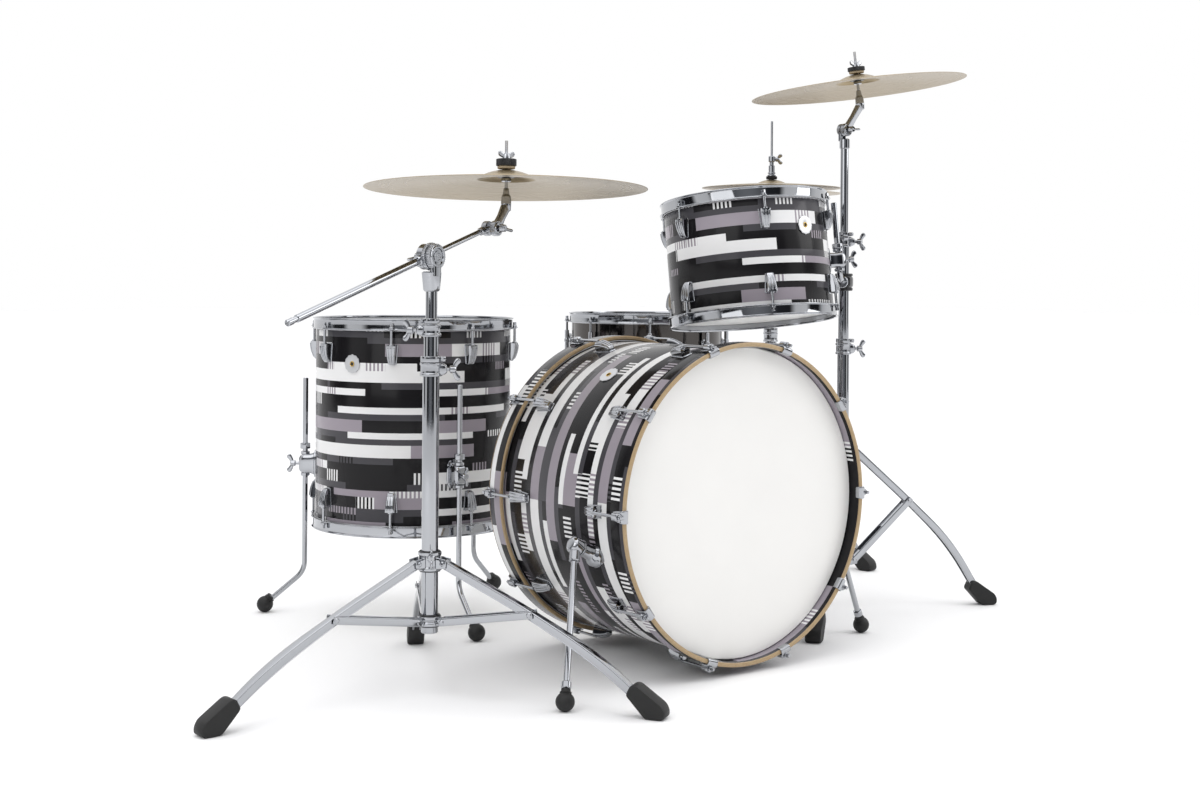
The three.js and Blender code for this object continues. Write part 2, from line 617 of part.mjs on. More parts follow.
// The split block that grips the stand and holds the rack tom's arm.
function addTomClamp(group) {
  const turn = armTurn();
  const screw = wingBolt([...polar(-22, turn), CLAMP_HEIGHT + 12], [0, 0, 1], 6);
  const body = join(block([62, 36, 26], [-3, 0, CLAMP_HEIGHT], turn), screw);
  const [below, above] = [CLAMP_HEIGHT - 60, CLAMP_HEIGHT + 60];
  const bore = rod([0, 0, below], [0, 0, above], STRAIGHT_TUBES.mid[0] + GAP);
  addPiece(group, 'tom_clamp', body.subtract(bore), BLACK_PLASTIC);
}

function addRackTom(parent) {
  const group = placedGroup(parent, RACK_TOM.centre, RACK_TOM.lean);
  const reach = RACK_TOM.radius + BRACKET_OUT;
  const [x, y] = polar(reach, TOM_BRACKET_TURN);
  const hole = rod([x, y, -40], [x, y, 40], 6.9);
  const bracket = block([42, 26, 34], [reach - 7, 0, -8], TOM_BRACKET_TURN).subtract(hole);
  addPiece(group, 'rack_tom_shell', join(shellTube(RACK_TOM), castLugs(RACK_TOM), bracket), WRAP);
  addHeadsAndHoops(group, 'rack_tom', RACK_TOM, RACK_TOM.lugInset - ROD_STOP);
  const toKit = new THREE.Matrix4().compose(group.position, group.quaternion, group.scale);
  const top = new THREE.Vector3(x, y, 112).applyMatrix4(toKit);
  const elbow = new THREE.Vector3(x, y, -46).applyMatrix4(toKit);
  addTomArm(parent, elbow.toArray(), top.toArray());
}

// The bent rod from the clamp, up through the bracket on the rack tom.
function addTomArm(parent, elbow, top) {
  const [standX, standY] = STRAIGHT_STAND.at;
  const point = (reach) => {
    const [x, y] = polar(reach, armTurn());
    return [standX + x, standY + y, CLAMP_HEIGHT];
  };
  addPiece(parent, 'tom_arm', join(
    rod(point(ARM_START), elbow, 6), ball(6.5, elbow), rod(elbow, top, 6),
    rod(point(ARM_START), point(ARM_START + 16), 13),
  ), CHROME);
}

// ---- Hi-hat ------------------------------------------------------------------------------------
const HAT_STAND = {
  hub: { reach: 24, height: 300 }, knee: { reach: 130, height: 200 }, collar: { reach: 24, height: 130 },
};
const HAT_TUBES = { base: [14.3, 13.1], upper: [12.7, 9] };
const HAT_GAP = 15; // between the edges of the two cymbals
const PEDAL_TURN = 100;
const PEDAL = { heel: 275, toe: 45, width: 78 };

function addHiHat(parent) {
  const group = new THREE.Group();
  group.position.set(...HI_HAT.at, 0);
  parent.add(group);
  const { base, upper } = HAT_TUBES;
  const turns = around(3, HI_HAT.legTurn);
  const tripod = fusedTripod(HAT_STAND, HI_HAT.footReach, turns, base, [110, 560], 19);
  const collar = clampCollar(base[1], 19, 548, 572, 30);
  addPiece(group, 'hi_hat_tripod', join(tripod, pedalFrame(), collar), CHROME);
  const seat = HI_HAT.height - HATS.rise - HAT_GAP;
  addPiece(group, 'hi_hat_tube', join(
    tube(upper[0], upper[1], 380, seat - 8), tube(18, upper[0] - 1, 572 + GAP, 584),
    tube(17, 6, seat - 12, seat - 6), tube(11, 6, seat - 6, seat),
  ), CHROME);
  addPedal(group);
  addHats(group, seat);
}

// The pedal's frame: two struts down from the base tube, two rails on the floor and the heel plate.
function pedalFrame() {
  const heelPlate = block([60, PEDAL.width, 6], [PEDAL.heel + 22, 0, 3], PEDAL_TURN);
  const sides = [-1, 1].flatMap((side) => [
    block([6, 6, 116], [0, side * 17, 60], PEDAL_TURN),
    block([6, 8, 8], [0, side * 15, 116], PEDAL_TURN),
    block([PEDAL.heel, 6, 6], [PEDAL.heel / 2, side * 17, 5], PEDAL_TURN),
    block([14, 6, 20], [PEDAL.heel, side * (PEDAL.width / 2 - 3), 12], PEDAL_TURN),
  ]);
  return join(heelPlate, sides);
}

// The footboard rises from its heel hinge towards the pull rod.
function addPedal(group) {
  const board = [[PEDAL.heel, 14], [PEDAL.toe, 84], [PEDAL.toe, 92], [PEDAL.heel, 22]];
  const barrel = new THREE.Matrix4().makeRotationZ(rad(PEDAL_TURN));
  const pin = new THREE.CylinderGeometry(6, 6, PEDAL.width - 14, 10);
  pin.translate(PEDAL.heel, 0, 16);
  const tongue = [[PEDAL.toe + 4, 84], [-5, 88], [-5, 94], [PEDAL.toe + 4, 92]];
  addPiece(group, 'hi_hat_pedal', join(
    slab(board, PEDAL.width - 14, PEDAL_TURN), toSolid(pin, barrel), slab(tongue, 20, PEDAL_TURN),
  ), CHROME);
}

// The lower cymbal sits bell down on the seat; the upper one hangs from the clutch on the rod.
function addHats(group, seat) {
  const bottomHat = cymbal(HATS, 20).transform(new THREE.Matrix4().makeRotationX(Math.PI).elements);
  const bottomMesh = addPiece(group, 'hi_hat_bottom_cymbal', bottomHat, BRONZE);
  bottomMesh.position.z = seat + HATS.rise + GAP;
  const topMesh = addPiece(group, 'hi_hat_top_cymbal', cymbal(HATS, 20), BRONZE);
  topMesh.position.z = HI_HAT.height;
  const bell = HI_HAT.height + HATS.rise;
  addPiece(group, 'hi_hat_rod', join(
    rod([0, 0, 98], [0, 0, 1112], ROD_RADIUS), rod([0, 0, bell + GAP], [0, 0, bell + 8], 13),
    rod([0, 0, bell + 8], [0, 0, bell + 34], 8), wingBolt([7, 0, bell + 24], [1, 0, 0], 6, 20),
    rod([0, 0, bell - 12], [0, 0, bell - 1.6 - GAP], 8),
  ), CHROME);
}

// ---- Snare drum and its stand ------------------------------------------------------------------
const SNARE_TRIPOD = {
  hub: { reach: 24, height: 250 }, knee: { reach: 115, height: 160 }, collar: { reach: 24, height: 95 },
};
const SNARE_TUBES = { base: [12.7, 11.6], upper: [11.1, 9] };
const LEVER_TURN = 120;

function addSnare(parent) {
  const group = placedGroup(parent, SNARE.centre, SNARE.lean);
  const { radius, depth, lugCount, firstLug } = SNARE;
  const half = depth / 2;
  const lugs = around(lugCount, firstLug).flatMap((angle) => {
    const posts = [-1, 1].map((end) => block([14, 8, 8], [radius + 4, 0, end * 30], angle));
    const [x, y] = polar(radius + ROD_OFFSET, angle);
    return [...posts, rod([x, y, -half + 28], [x, y, half - 28], 5, 8)];
  });
  const throwOff = block([16, 30, 60], [radius + 5, 0, 8], LEVER_TURN);
  addPiece(group, 'snare_shell', join(shellTube(SNARE, 4), lugs, throwOff), BLACK_NICKEL);
  addHeadsAndHoops(group, 'snare', SNARE, 27.5);
  addPiece(group, 'snare_lever', join(
    block([6, 18, 53], [radius + 17, 0, 15.5], LEVER_TURN),
    block([12, 24, 10], [radius + 20, 0, 40], LEVER_TURN),
  ), CHROME);
  const wires = block([250, 44, 2], [0, 0, -half - 1.3 - GAP - 1], LEVER_TURN);
  addPiece(group, 'snare_wires', wires, CHROME);
}

function addSnareStand(parent) {
  const group = new THREE.Group();
  group.position.set(SNARE.centre[0], SNARE.centre[1], 0);
  parent.add(group);
  const { base, upper } = SNARE_TUBES;
  const turns = around(3, SNARE_STAND.legTurn);
  const tripod = fusedTripod(SNARE_TRIPOD, SNARE_STAND.footReach, turns, base, [85, 330], 17);
  addPiece(group, 'snare_stand_tripod', join(tripod, clampCollar(base[1], 17, 318, 340, 20)), CHROME);
  addPiece(group, 'snare_stand_tube', join(
    tube(upper[0], upper[1], 150, 372), tube(16, upper[0] - 1, 340 + GAP, 350),
    rod([0, 0, 366], [0, 0, 376], 11.1), block([20, 8, 28], [0, -8, 382]),
  ), CHROME);
  addBasket(group);
}

// The basket: a boss on the tube and three arms that turn up under the snare's lower rim.
function addBasket(group) {
  const rim = SNARE.centre[2] - SNARE.depth / 2 - 14;
  const reach = SNARE.radius + 4;
  const arms = around(3, SNARE_STAND.legTurn + 60).flatMap((turn) => [
    block([reach + 16, 12, 8], [(reach + 16) / 2, 0, 412], turn),
    block([5, 12, rim + 6 - 408], [reach + 13.5, 0, (rim + 6 + 408) / 2], turn),
    block([18, 14, 6], [reach + 5, 0, rim - 5], turn),
  ]);
  const boss = join(rod([0, 0, 402], [0, 0, 420], 22), block([20, 8, 26], [0, 1, 392]));
  addPiece(group, 'snare_basket', join(boss, arms), CHROME);
}

// ---- The kit -----------------------------------------------------------------------------------
// The whole kit is centred on its own bounding box in X and Y, with every foot on the floor.
const kit = new THREE.Group();
addBassDrum(kit);
addFloorTom(kit);
addBoomStand(kit);
addStraightStand(kit);
addRackTom(kit);
addHiHat(kit);
addSnare(kit);
addSnareStand(kit);
kit.updateMatrixWorld(true);
const middle = new THREE.Box3().setFromObject(kit, true).getCenter(new THREE.Vector3());
kit.position.set(-middle.x, -middle.y, 0);

export default kit;
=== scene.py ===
# %% [markdown]
# # An acoustic drum kit
# This script makes the fine surfaces over that frame: turned, bent and cast pieces worked out
# with numpy, each riding on the body that it belongs to.

# %% The frame and the libraries
import json
import math

import bmesh
import bpy
import numpy as np
from mathutils import Matrix, Vector


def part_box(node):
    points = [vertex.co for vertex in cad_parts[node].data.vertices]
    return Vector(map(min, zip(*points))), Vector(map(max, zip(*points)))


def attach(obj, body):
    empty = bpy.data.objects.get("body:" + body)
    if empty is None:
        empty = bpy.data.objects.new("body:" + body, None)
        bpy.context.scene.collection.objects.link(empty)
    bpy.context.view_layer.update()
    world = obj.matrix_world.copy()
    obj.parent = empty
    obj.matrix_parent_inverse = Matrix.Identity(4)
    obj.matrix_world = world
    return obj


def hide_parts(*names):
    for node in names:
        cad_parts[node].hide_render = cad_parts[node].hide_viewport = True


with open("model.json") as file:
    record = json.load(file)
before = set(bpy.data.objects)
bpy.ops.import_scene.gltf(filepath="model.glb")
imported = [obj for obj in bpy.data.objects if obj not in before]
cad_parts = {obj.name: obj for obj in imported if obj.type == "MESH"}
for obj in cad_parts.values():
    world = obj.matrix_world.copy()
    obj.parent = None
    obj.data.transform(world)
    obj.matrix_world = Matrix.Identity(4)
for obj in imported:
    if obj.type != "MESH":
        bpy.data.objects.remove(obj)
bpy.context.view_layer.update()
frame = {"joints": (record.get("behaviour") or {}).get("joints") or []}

MM = 0.001

# %% [markdown]
# ## Camera, lights and floor
# The camera is at the height of a seated person, a little to the left of the bass drum, level, with
# the frame slid down rather than the lens tilted, so upright tubes stay upright. A big soft box
# overhead and two at the sides give chrome something to reflect.

# %% The camera
CAMERA_PLACE = (-2.1257, -2.7278, 0.707)
CAMERA_TURN = 37.51  # degrees to the right of +Y
CAMERA_ROLL = 0.37
CAMERA_LENS = 49.79


def add_camera():
    """The camera's matrix columns are right, up and backwards, turned by the roll about the view."""
    turn, roll = math.radians(CAMERA_TURN), math.radians(CAMERA_ROLL)
    forward = Vector((math.sin(turn), math.cos(turn), 0))
    right = Vector((math.cos(turn), -math.sin(turn), 0))
    up = Vector((0, 0, 1))
    rolled_right = right * math.cos(roll) + up * math.sin(roll)
    rolled_up = up * math.cos(roll) - right * math.sin(roll)
    axes = Matrix((rolled_right, rolled_up, -forward)).transposed()
    data = bpy.data.cameras.new("camera")
    data.lens = CAMERA_LENS
    data.sensor_width = 36
    data.shift_x = 0.0023
    data.shift_y = -0.1013
    data.dof.use_dof = False
    camera = bpy.data.objects.new("camera", data)
    camera.matrix_world = Matrix.Translation(CAMERA_PLACE) @ axes.to_4x4()
    bpy.context.scene.collection.objects.link(camera)
    bpy.context.scene.camera = camera


add_camera()

# %% [markdown]
# ## Small helpers for materials
# Colours are written as the hex values that a person would pick on a screen and turned to the
# linear values that the renderer works in. One function adds a node with its settings and inputs.

# %% Colour and node helpers


def colour(hex_value):
    """Linear RGBA of an sRGB hex value: each channel below 0.04045 is divided by 12.92, the rest
    follow the 2.4 power curve."""
    channels = np.array([int(hex_value[i:i + 2], 16) for i in (1, 3, 5)]) / 255
    linear = np.where(channels <= 0.04045, channels / 12.92, ((channels + 0.055) / 1.055) ** 2.4)
    return (*linear, 1.0)


def add(tree, kind, settings=None, inputs=None):
    """Adds a node, sets its settings, and links or fills its inputs."""
    made = tree.nodes.new(kind)
    for name, value in (settings or {}).items():
        setattr(made, name, value)
    for name, value in (inputs or {}).items():
        if isinstance(value, bpy.types.NodeSocket):
            tree.links.new(value, made.inputs[name])
        else:
            made.inputs[name].default_value = value
    return made


def maths(tree, operation, first, second=0.0):
    """The output of a Math node."""
    return add(tree, "ShaderNodeMath", {"operation": operation}, {0: first, 1: second}).outputs[0]


def surface_material(name, **values):
    """A material with one Principled shader whose sockets take the given values."""
    made = bpy.data.materials.new(name)
    made.use_nodes = True
    tree = made.node_tree
    shader = tree.nodes["Principled BSDF"]
    for socket, value in values.items():
        shader.inputs[socket.replace("_", " ")].default_value = value
    return made, tree, shader


def object_point(tree):
    """The point on the object, in metres."""
    return tree.nodes.new("ShaderNodeTexCoord").outputs["Object"]


def grain(tree, point, scale, detail=3.0):
    """A noise value whose blobs are about one metre over the scale across."""
    settings = {"Vector": point, "Scale": scale, "Detail": detail}
    return add(tree, "ShaderNodeTexNoise", {}, settings).outputs["Fac"]


def spread(tree, value, low, high):
    """Maps 0..1 to low..high."""
    inputs = {"Value": value, "To Min": low, "To Max": high}
    return add(tree, "ShaderNodeMapRange", {}, inputs).outputs["Result"]


def bumped(tree, shader, height, strength, distance):
    """Raises the surface by a height field, without moving the mesh."""
    inputs = {"Height": height, "Strength": strength, "Distance": distance}
    bump = add(tree, "ShaderNodeBump", {}, inputs)
    tree.links.new(bump.outputs["Normal"], shader.inputs["Normal"])


# %% [markdown]
# ## Metals
# Chrome plate over polished steel is the brightest thing on a kit: nearly a mirror, with faint
# wiping marks that only change its roughness. Black nickel is the same plate, darker. Cymbals are
# B8 bronze, spun and cut with a tool that leaves fine rings about a millimetre apart.

# %% Chrome, nickel, aluminium and brass


def plated(name, hex_value, smooth, rough):
    """A polished plate whose roughness wanders between two values in patches of about 25 mm."""
    made, tree, shader = surface_material(name, Base_Color=colour(hex_value), Metallic=1.0)
    wiped = spread(tree, grain(tree, object_point(tree), 40.0), smooth, rough)
    tree.links.new(wiped, shader.inputs["Roughness"])
    return made


CHROME = plated("chrome_plated_steel", "#a9abaf", 0.03, 0.10)
BLACK_NICKEL = plated("black_nickel_plate", "#524f4d", 0.04, 0.12)
ALUMINIUM = plated("drawn_aluminium", "#c3c4c6", 0.25, 0.35)
BRASS = plated("polished_brass", "#d2b26a", 0.12, 0.22)

# %% [markdown]
# ## Bronze
# The rings follow the distance from the cymbal's own axis, so each cymbal gets its own copy of the
# material with a Mapping node that brings its axis to the origin. A second, slower ring pattern
# changes the tone from bell to edge, as the lathe's passes do.

# %% Bronze for one cymbal


def bronze(name, centre, turn):
    """Rings by the sine of the distance from the axis, 1.6 mm apart, with soft hammer marks."""
    made, tree, shader = surface_material(name, Metallic=1.0)
    inputs = {"Vector": object_point(tree), "Location": centre, "Rotation": turn}
    local = add(tree, "ShaderNodeMapping", {"vector_type": "TEXTURE"}, inputs).outputs[0]
    split = add(tree, "ShaderNodeSeparateXYZ", {}, {0: local})
    flat = add(tree, "ShaderNodeCombineXYZ", {}, {0: split.outputs[0], 1: split.outputs[1]}).outputs[0]
    reach = add(tree, "ShaderNodeVectorMath", {"operation": "LENGTH"}, {0: flat}).outputs["Value"]
    ring_point = add(tree, "ShaderNodeCombineXYZ", {}, {0: reach}).outputs[0]
    passes = grain(tree, ring_point, 260.0, 4.0)
    rings = maths(tree, "SINE", maths(tree, "MULTIPLY", reach, 2 * math.pi / 0.0016))
    ring_height = maths(tree, "MULTIPLY", rings, spread(tree, passes, 0.1, 0.6))
    hammer = add(tree, "ShaderNodeTexVoronoi", {"feature": "SMOOTH_F1"}, {"Vector": local, "Scale": 55.0})
    height = maths(tree, "ADD", ring_height, maths(tree, "MULTIPLY", hammer.outputs["Distance"], 3.0))
    bumped(tree, shader, height, 0.35, 0.0004)
    tone = add(tree, "ShaderNodeMix", {"data_type": "RGBA"}, {
        "Factor": passes, "A": colour("#7b6a4c"), "B": colour("#b1a286")})
    tree.links.new(tone.outputs["Result"], shader.inputs["Base Color"])
    tree.links.new(spread(tree, passes, 0.2, 0.38), shader.inputs["Roughness"])
    return made


# %% [markdown]
# ## Striped wrap
# The shells are covered in glossy cellulose-like sheet, printed with bands that run round the drum
# and repeat every 201 mm. A band has a main tone and a second tone that takes over for a stretch,
# and here and there a run of thin bars. Heights come from a small list; noise keyed to the band's
# number and to the distance round the shell decides where the tones change.

# %% The wrap's bands
TONES = {"black": "#171618", "dark": "#454448", "mauve": "#968f97", "white": "#e4e4e4"}
BANDS = [  # height in mm, main tone, second tone, tone of the thin bars
    (25, "white", "mauve", "mauve"), (13, "dark", "black", "black"), (16, "white", "black", "mauve"),
    (23, "black", "white", "white"), (13, "dark", "black", "white"), (14, "white", "mauve", "mauve"),
    (23, "black", "mauve", "white"), (13, "white", "dark", "mauve"), (13, "dark", "black", "black"),
    (24, "mauve", "black", "white"), (13, "dark", "white", "white"), (12, "black", "dark", "dark"),
]
REPEAT = sum(band[0] for band in BANDS) * MM
FIRST_BAND = 35 * MM  # the first band starts this far below the top edge


def band_ramp(tree, place, colours):
    """A stepped ramp with one stop at each band's start."""
    ramp = add(tree, "ShaderNodeValToRGB", {}, {"Fac": place})
    ramp.color_ramp.interpolation = "CONSTANT"
    start = 0.0
    for number, (band, value) in enumerate(zip(BANDS, colours)):
        if number < 2:
            stop = ramp.color_ramp.elements[number]
            stop.position = start
        else:
            stop = ramp.color_ramp.elements.new(start)
        stop.color = value
        start += band[0] * MM / REPEAT
    return ramp.outputs["Color"]


def chance(tree, step, band_number):
    """A random value that is constant over one step of one band."""
    pair = add(tree, "ShaderNodeCombineXYZ", {}, {0: step, 1: band_number}).outputs[0]
    return add(tree, "ShaderNodeTexWhiteNoise", {"noise_dimensions": "2D"}, {"Vector": pair}).outputs["Value"]


SECOND_TONE, THIRD_TONE, BARRED = 0.58, 0.78, 0.87   # a step changes where its chance is above these


def wrap(name, centre, turn, radius, top):
    """Bands by the height below the top edge, and tones by the arc length round the axis.
    The arc length is the angle times the radius. Each step of a band shows its main tone, its second
    tone or, less often, a darker third one, and thin bars cross some of them."""
    made, tree, shader = surface_material(name, IOR=1.5, Specular_IOR_Level=0.16, Coat_Weight=0.07,
        Coat_Roughness=0.05)
    inputs = {"Vector": object_point(tree), "Location": centre, "Rotation": turn}
    local = add(tree, "ShaderNodeMapping", {"vector_type": "TEXTURE"}, inputs).outputs[0]
    split = add(tree, "ShaderNodeSeparateXYZ", {}, {0: local})
    arc = maths(tree, "MULTIPLY", maths(tree, "ARCTAN2", split.outputs[1], split.outputs[0]), radius)
    depth = maths(tree, "DIVIDE", maths(tree, "SUBTRACT", top - FIRST_BAND + REPEAT, split.outputs[2]),
                  REPEAT)
    place = maths(tree, "FRACT", depth)
    numbers = [(n / len(BANDS),) * 3 + (1,) for n in range(len(BANDS))]
    number = maths(tree, "ADD", maths(tree, "MULTIPLY", band_ramp(tree, place, numbers), len(BANDS) * 3.1),
                   maths(tree, "MULTIPLY", maths(tree, "FLOOR", depth), 57.0))
    main, second, bars = (band_ramp(tree, place, [colour(TONES[b[k]]) for b in BANDS]) for k in (1, 2, 3))
    step = maths(tree, "FLOOR",
                 maths(tree, "ADD", maths(tree, "DIVIDE", arc, 0.135), maths(tree, "MULTIPLY", number, 0.73)))
    swap = maths(tree, "GREATER_THAN", chance(tree, step, number), SECOND_TONE)
    base = add(tree, "ShaderNodeMix", {"data_type": "RGBA"},
               {"Factor": swap, "A": main, "B": second}).outputs["Result"]
    darker = maths(tree, "GREATER_THAN", chance(tree, maths(tree, "ADD", step, 37.0), number), THIRD_TONE)
    base = add(tree, "ShaderNodeMix", {"data_type": "RGBA"}, {
        "Factor": darker, "A": base, "B": colour(TONES["black"])}).outputs["Result"]
    bar_step = maths(tree, "FLOOR",
                     maths(tree, "ADD", maths(tree, "DIVIDE", arc, 0.042),
                           maths(tree, "MULTIPLY", number, 0.31)))
    barred = maths(tree, "GREATER_THAN", chance(tree, bar_step, maths(tree, "ADD", number, 211.0)), BARRED)
    thin = maths(tree, "LESS_THAN", maths(tree, "FRACT", maths(tree, "DIVIDE", arc, 0.0084)), 0.5)
    both = maths(tree, "MULTIPLY", barred, thin)
    tone = add(tree, "ShaderNodeMix", {"data_type": "RGBA"},
               {"Factor": both, "A": base, "B": bars}).outputs["Result"]
    tree.links.new(tone, shader.inputs["Base Color"])
    ripple = grain(tree, local, 18.0, 2.0)
    tree.links.new(spread(tree, ripple, 0.14, 0.26), shader.inputs["Roughness"])
    bumped(tree, shader, ripple, 0.08, 0.002)
    return made


# %% [markdown]
# ## Wood, film, felt and rubber
# Maple shows as a pale edge where the hoop's wrap ends, with fine straight grain. A batter head is
# polyester film with a sprayed, slightly gritty coat. Felts are pressed wool, and feet are black
# EPDM rubber with a dull, faintly pitted skin.

# %% Wood, film, felt and rubber


def maple():
    """Grain as noise stretched eight times along the ring, mixed from two tones."""
    made, tree, shader = surface_material("clear_lacquered_maple", Roughness=0.38, IOR=1.5)
    inputs = {"Vector": object_point(tree), "Scale": (30.0, 240.0, 30.0)}
    stretched = add(tree, "ShaderNodeMapping", {}, inputs).outputs[0]
    streaks = grain(tree, stretched, 6.0, 6.0)
    tone = add(tree, "ShaderNodeMix", {"data_type": "RGBA"}, {
        "Factor": streaks, "A": colour("#957c5a"), "B": colour("#b9a27e")})
    tree.links.new(tone.outputs["Result"], shader.inputs["Base Color"])
    bumped(tree, shader, streaks, 0.15, 0.0005)
    return made


def gritty(name, hex_value, roughness, scale, distance, ior=1.5):
    """A plain coloured material with a fine random surface."""
    made, tree, shader = surface_material(name, Roughness=roughness, IOR=ior)
    point = object_point(tree)
    base = colour(hex_value)
    light = tuple(min(1.0, v * 1.03 + 0.001) for v in base[:3]) + (1,)
    dark = tuple(v * 0.97 for v in base[:3]) + (1,)
    tone = add(tree, "ShaderNodeMix", {"data_type": "RGBA"}, {
        "Factor": grain(tree, point, 9.0), "A": dark, "B": light})
    tree.links.new(tone.outputs["Result"], shader.inputs["Base Color"])
    bumped(tree, shader, grain(tree, point, scale, 2.0), 0.4, distance)
    return made


MAPLE = maple()
COATED_FILM = gritty("coated_polyester_film", "#e9e8e5", 0.5, 1400.0, 0.0002, 1.6)
SMOOTH_FILM = gritty("smooth_white_polyester_film", "#eeedea", 0.32, 60.0, 0.0001, 1.6)
WOOL_FELT = gritty("pressed_wool_felt", "#b3a48a", 0.95, 900.0, 0.0008)
BLACK_FELT = gritty("black_wool_felt", "#1c1b1b", 0.95, 900.0, 0.0008)
RUBBER = gritty("epdm_rubber", "#0a0a0a", 0.6, 700.0, 0.0003, 1.52)
NYLON = gritty("moulded_black_nylon", "#17171a", 0.34, 500.0, 0.0002, 1.53)
SNARE_WIRE = plated("spiral_steel_wire", "#b9bbbe", 0.2, 0.35)

# %% [markdown]
# ## Surfaces from grids
# Every piece is a grid of points: rows along a profile or path, columns round it. Neighbouring
# points are joined by four-sided faces. A row whose points all meet closes an end, and merging
# doubles afterwards turns those faces into triangles.

# %% Grids, turned shapes and lofts


def surface(grid, close_rows=False, close_columns=True):
    """Joins the neighbours of a grid shaped (rows, columns, 3); returns points and faces."""
    rows, columns = grid.shape[:2]
    index = np.arange(rows * columns).reshape(rows, columns)
    if close_rows:
        index = np.vstack([index, index[:1]])
    if close_columns:
        index = np.hstack([index, index[:, :1]])
    faces = np.stack([index[:-1, :-1], index[:-1, 1:], index[1:, 1:], index[1:, :-1]], -1)
    return grid.reshape(-1, 3), faces.reshape(-1, 4)


def rounded(points, radius, closed=True, steps=4):
    """Replaces each corner by a quadratic curve that starts and ends one radius away from it."""
    points = np.asarray(points, float)
    to_before = np.roll(points, 1, 0) - points
    to_after = np.roll(points, -1, 0) - points
    before = np.linalg.norm(to_before, axis=1, keepdims=True)
    after = np.linalg.norm(to_after, axis=1, keepdims=True)
    cut = np.minimum(radius, 0.45 * np.minimum(before, after))
    start = (points + to_before / before * cut)[:, None]
    end = (points + to_after / after * cut)[:, None]
    t = np.linspace(0, 1, steps + 1)[None, :, None]
    curve = (1 - t) ** 2 * start + 2 * t * (1 - t) * points[:, None] + t ** 2 * end
    if closed:
        return curve.reshape(-1, 2)
    return np.vstack([points[:1], curve[1:-1].reshape(-1, 2), points[-1:]])


def lathe(profile, sides=96, closed=False, swell=None):
    """Carries [radius, height] points round Z. A swell adds its share of radius by angle."""
    profile = np.asarray(profile, float)
    turn = np.linspace(0, 2 * np.pi, sides, endpoint=False)
    radius = np.repeat(profile[:, :1], sides, 1)
    if swell is not None:
        share, by_angle = swell
        radius = radius + np.asarray(share)[:, None] * by_angle(turn)[None]
    height = np.repeat(profile[:, 1:], sides, 1)
    return surface(np.stack([radius * np.cos(turn), radius * np.sin(turn), height], -1), closed)


def loft(path, width, depth, side=(0, 1, 0), power=2.0, sides=20, bevel=0.8):
    """Carries a rounded section along a path: width lies along the side direction. The section is
    a superellipse of the given power, 2 for round and 8 for nearly square, and both ends are
    capped with a bevel."""
    path = np.asarray(path, float)
    count = len(path)
    width = np.broadcast_to(np.asarray(width, float), (count,))
    depth = np.broadcast_to(np.asarray(depth, float), (count,))
    tangent = np.gradient(path, axis=0)
    tangent /= np.linalg.norm(tangent, axis=1, keepdims=True)
    across = np.asarray(side, float) - tangent * (tangent @ np.asarray(side, float))[:, None]
    across /= np.linalg.norm(across, axis=1, keepdims=True)
    over = np.cross(tangent, across)
    inset_start, inset_end = path[:1] + tangent[:1] * bevel, path[-1:] - tangent[-1:] * bevel
    rows = np.vstack([path[:1], path[:1], inset_start, path[1:-1], inset_end, path[-1:], path[-1:]])
    pick = np.r_[0, 0, 0, np.arange(1, count - 1), count - 1, count - 1, count - 1]
    trim = np.ones(len(pick))
    small = max(1e-6, 1 - 2 * bevel / max(float(min(width.min(), depth.min())), 1e-6))
    trim[[0, -1]] = 0
    trim[[1, -2]] = max(small, 0.5)
    turn = np.linspace(0, 2 * np.pi, sides, endpoint=False) + np.pi / sides
    x = np.sign(np.cos(turn)) * np.abs(np.cos(turn)) ** (2 / power)
    y = np.sign(np.sin(turn)) * np.abs(np.sin(turn)) ** (2 / power)
    half_w = (width[pick] / 2 * trim)[:, None, None] * x[None, :, None]
    half_d = (depth[pick] / 2 * trim)[:, None, None] * y[None, :, None]
    return surface(rows[:, None] + half_w * across[pick][:, None] + half_d * over[pick][:, None])


def smooth_path(points, count):
    """A path through control points by a quadratic B-spline: each step blends three neighbours."""
    points = np.asarray(points, float)
    points = np.vstack([points[:1] * 2 - points[1:2], points, points[-1:] * 2 - points[-2:-1]])
    place = np.linspace(0.5, len(points) - 2.5, count)
    whole = np.minimum(place.astype(int), len(points) - 3)
    t = (place - whole)[:, None]
    before, at, after = points[whole], points[whole + 1], points[whole + 2]
    return 0.5 * (1 - t) ** 2 * before + (0.5 + t * (1 - t)) * at + 0.5 * t ** 2 * after


def rod(start, end, radius, sides=20, bevel=0.6):
    """A round bar between two points."""
    along = np.subtract(end, start)
    side = (0, 1, 0) if abs(along[1]) < 0.9 * np.linalg.norm(along) else (1, 0, 0)
    return loft([start, end], radius * 2, radius * 2, side, 2.0, sides, bevel)


def box(size, centre, turn=0.0, bevel=1.0, power=9.0):
    """A block with soft corners, centred on a point and then turned about Z by degrees."""
    half = size[2] / 2
    path = [(centre[0], centre[1], centre[2] - half), (centre[0], centre[1], centre[2] + half)]
    shape = loft(path, size[0], size[1], (1, 0, 0), power, 36, bevel)
    return placed(shape, turned_about_z(turn))


def slab(outline, thickness, centre=(0, 0, 0), bevel=0.8):
    """A flat outline in XZ given a thickness along Y. The bevel draws the two faces inwards."""
    outline = np.asarray(outline, float)
    middle = outline.mean(0)
    inner = middle + (outline - middle) * (1 - bevel / np.abs(outline - middle).max())
    rings = [middle + 0 * outline, inner, outline, outline, inner, middle + 0 * outline]
    depths = np.array([-0.5, -0.5, -0.5, 0.5, 0.5, 0.5]) * thickness + np.array([0, 0, bevel, -bevel, 0, 0])
    grid = np.stack([np.stack([r[:, 0], np.full(len(r), d), r[:, 1]], 1) for r, d in zip(rings, depths)])
    return placed(surface(grid), moved(centre))


# %% Moving shapes about


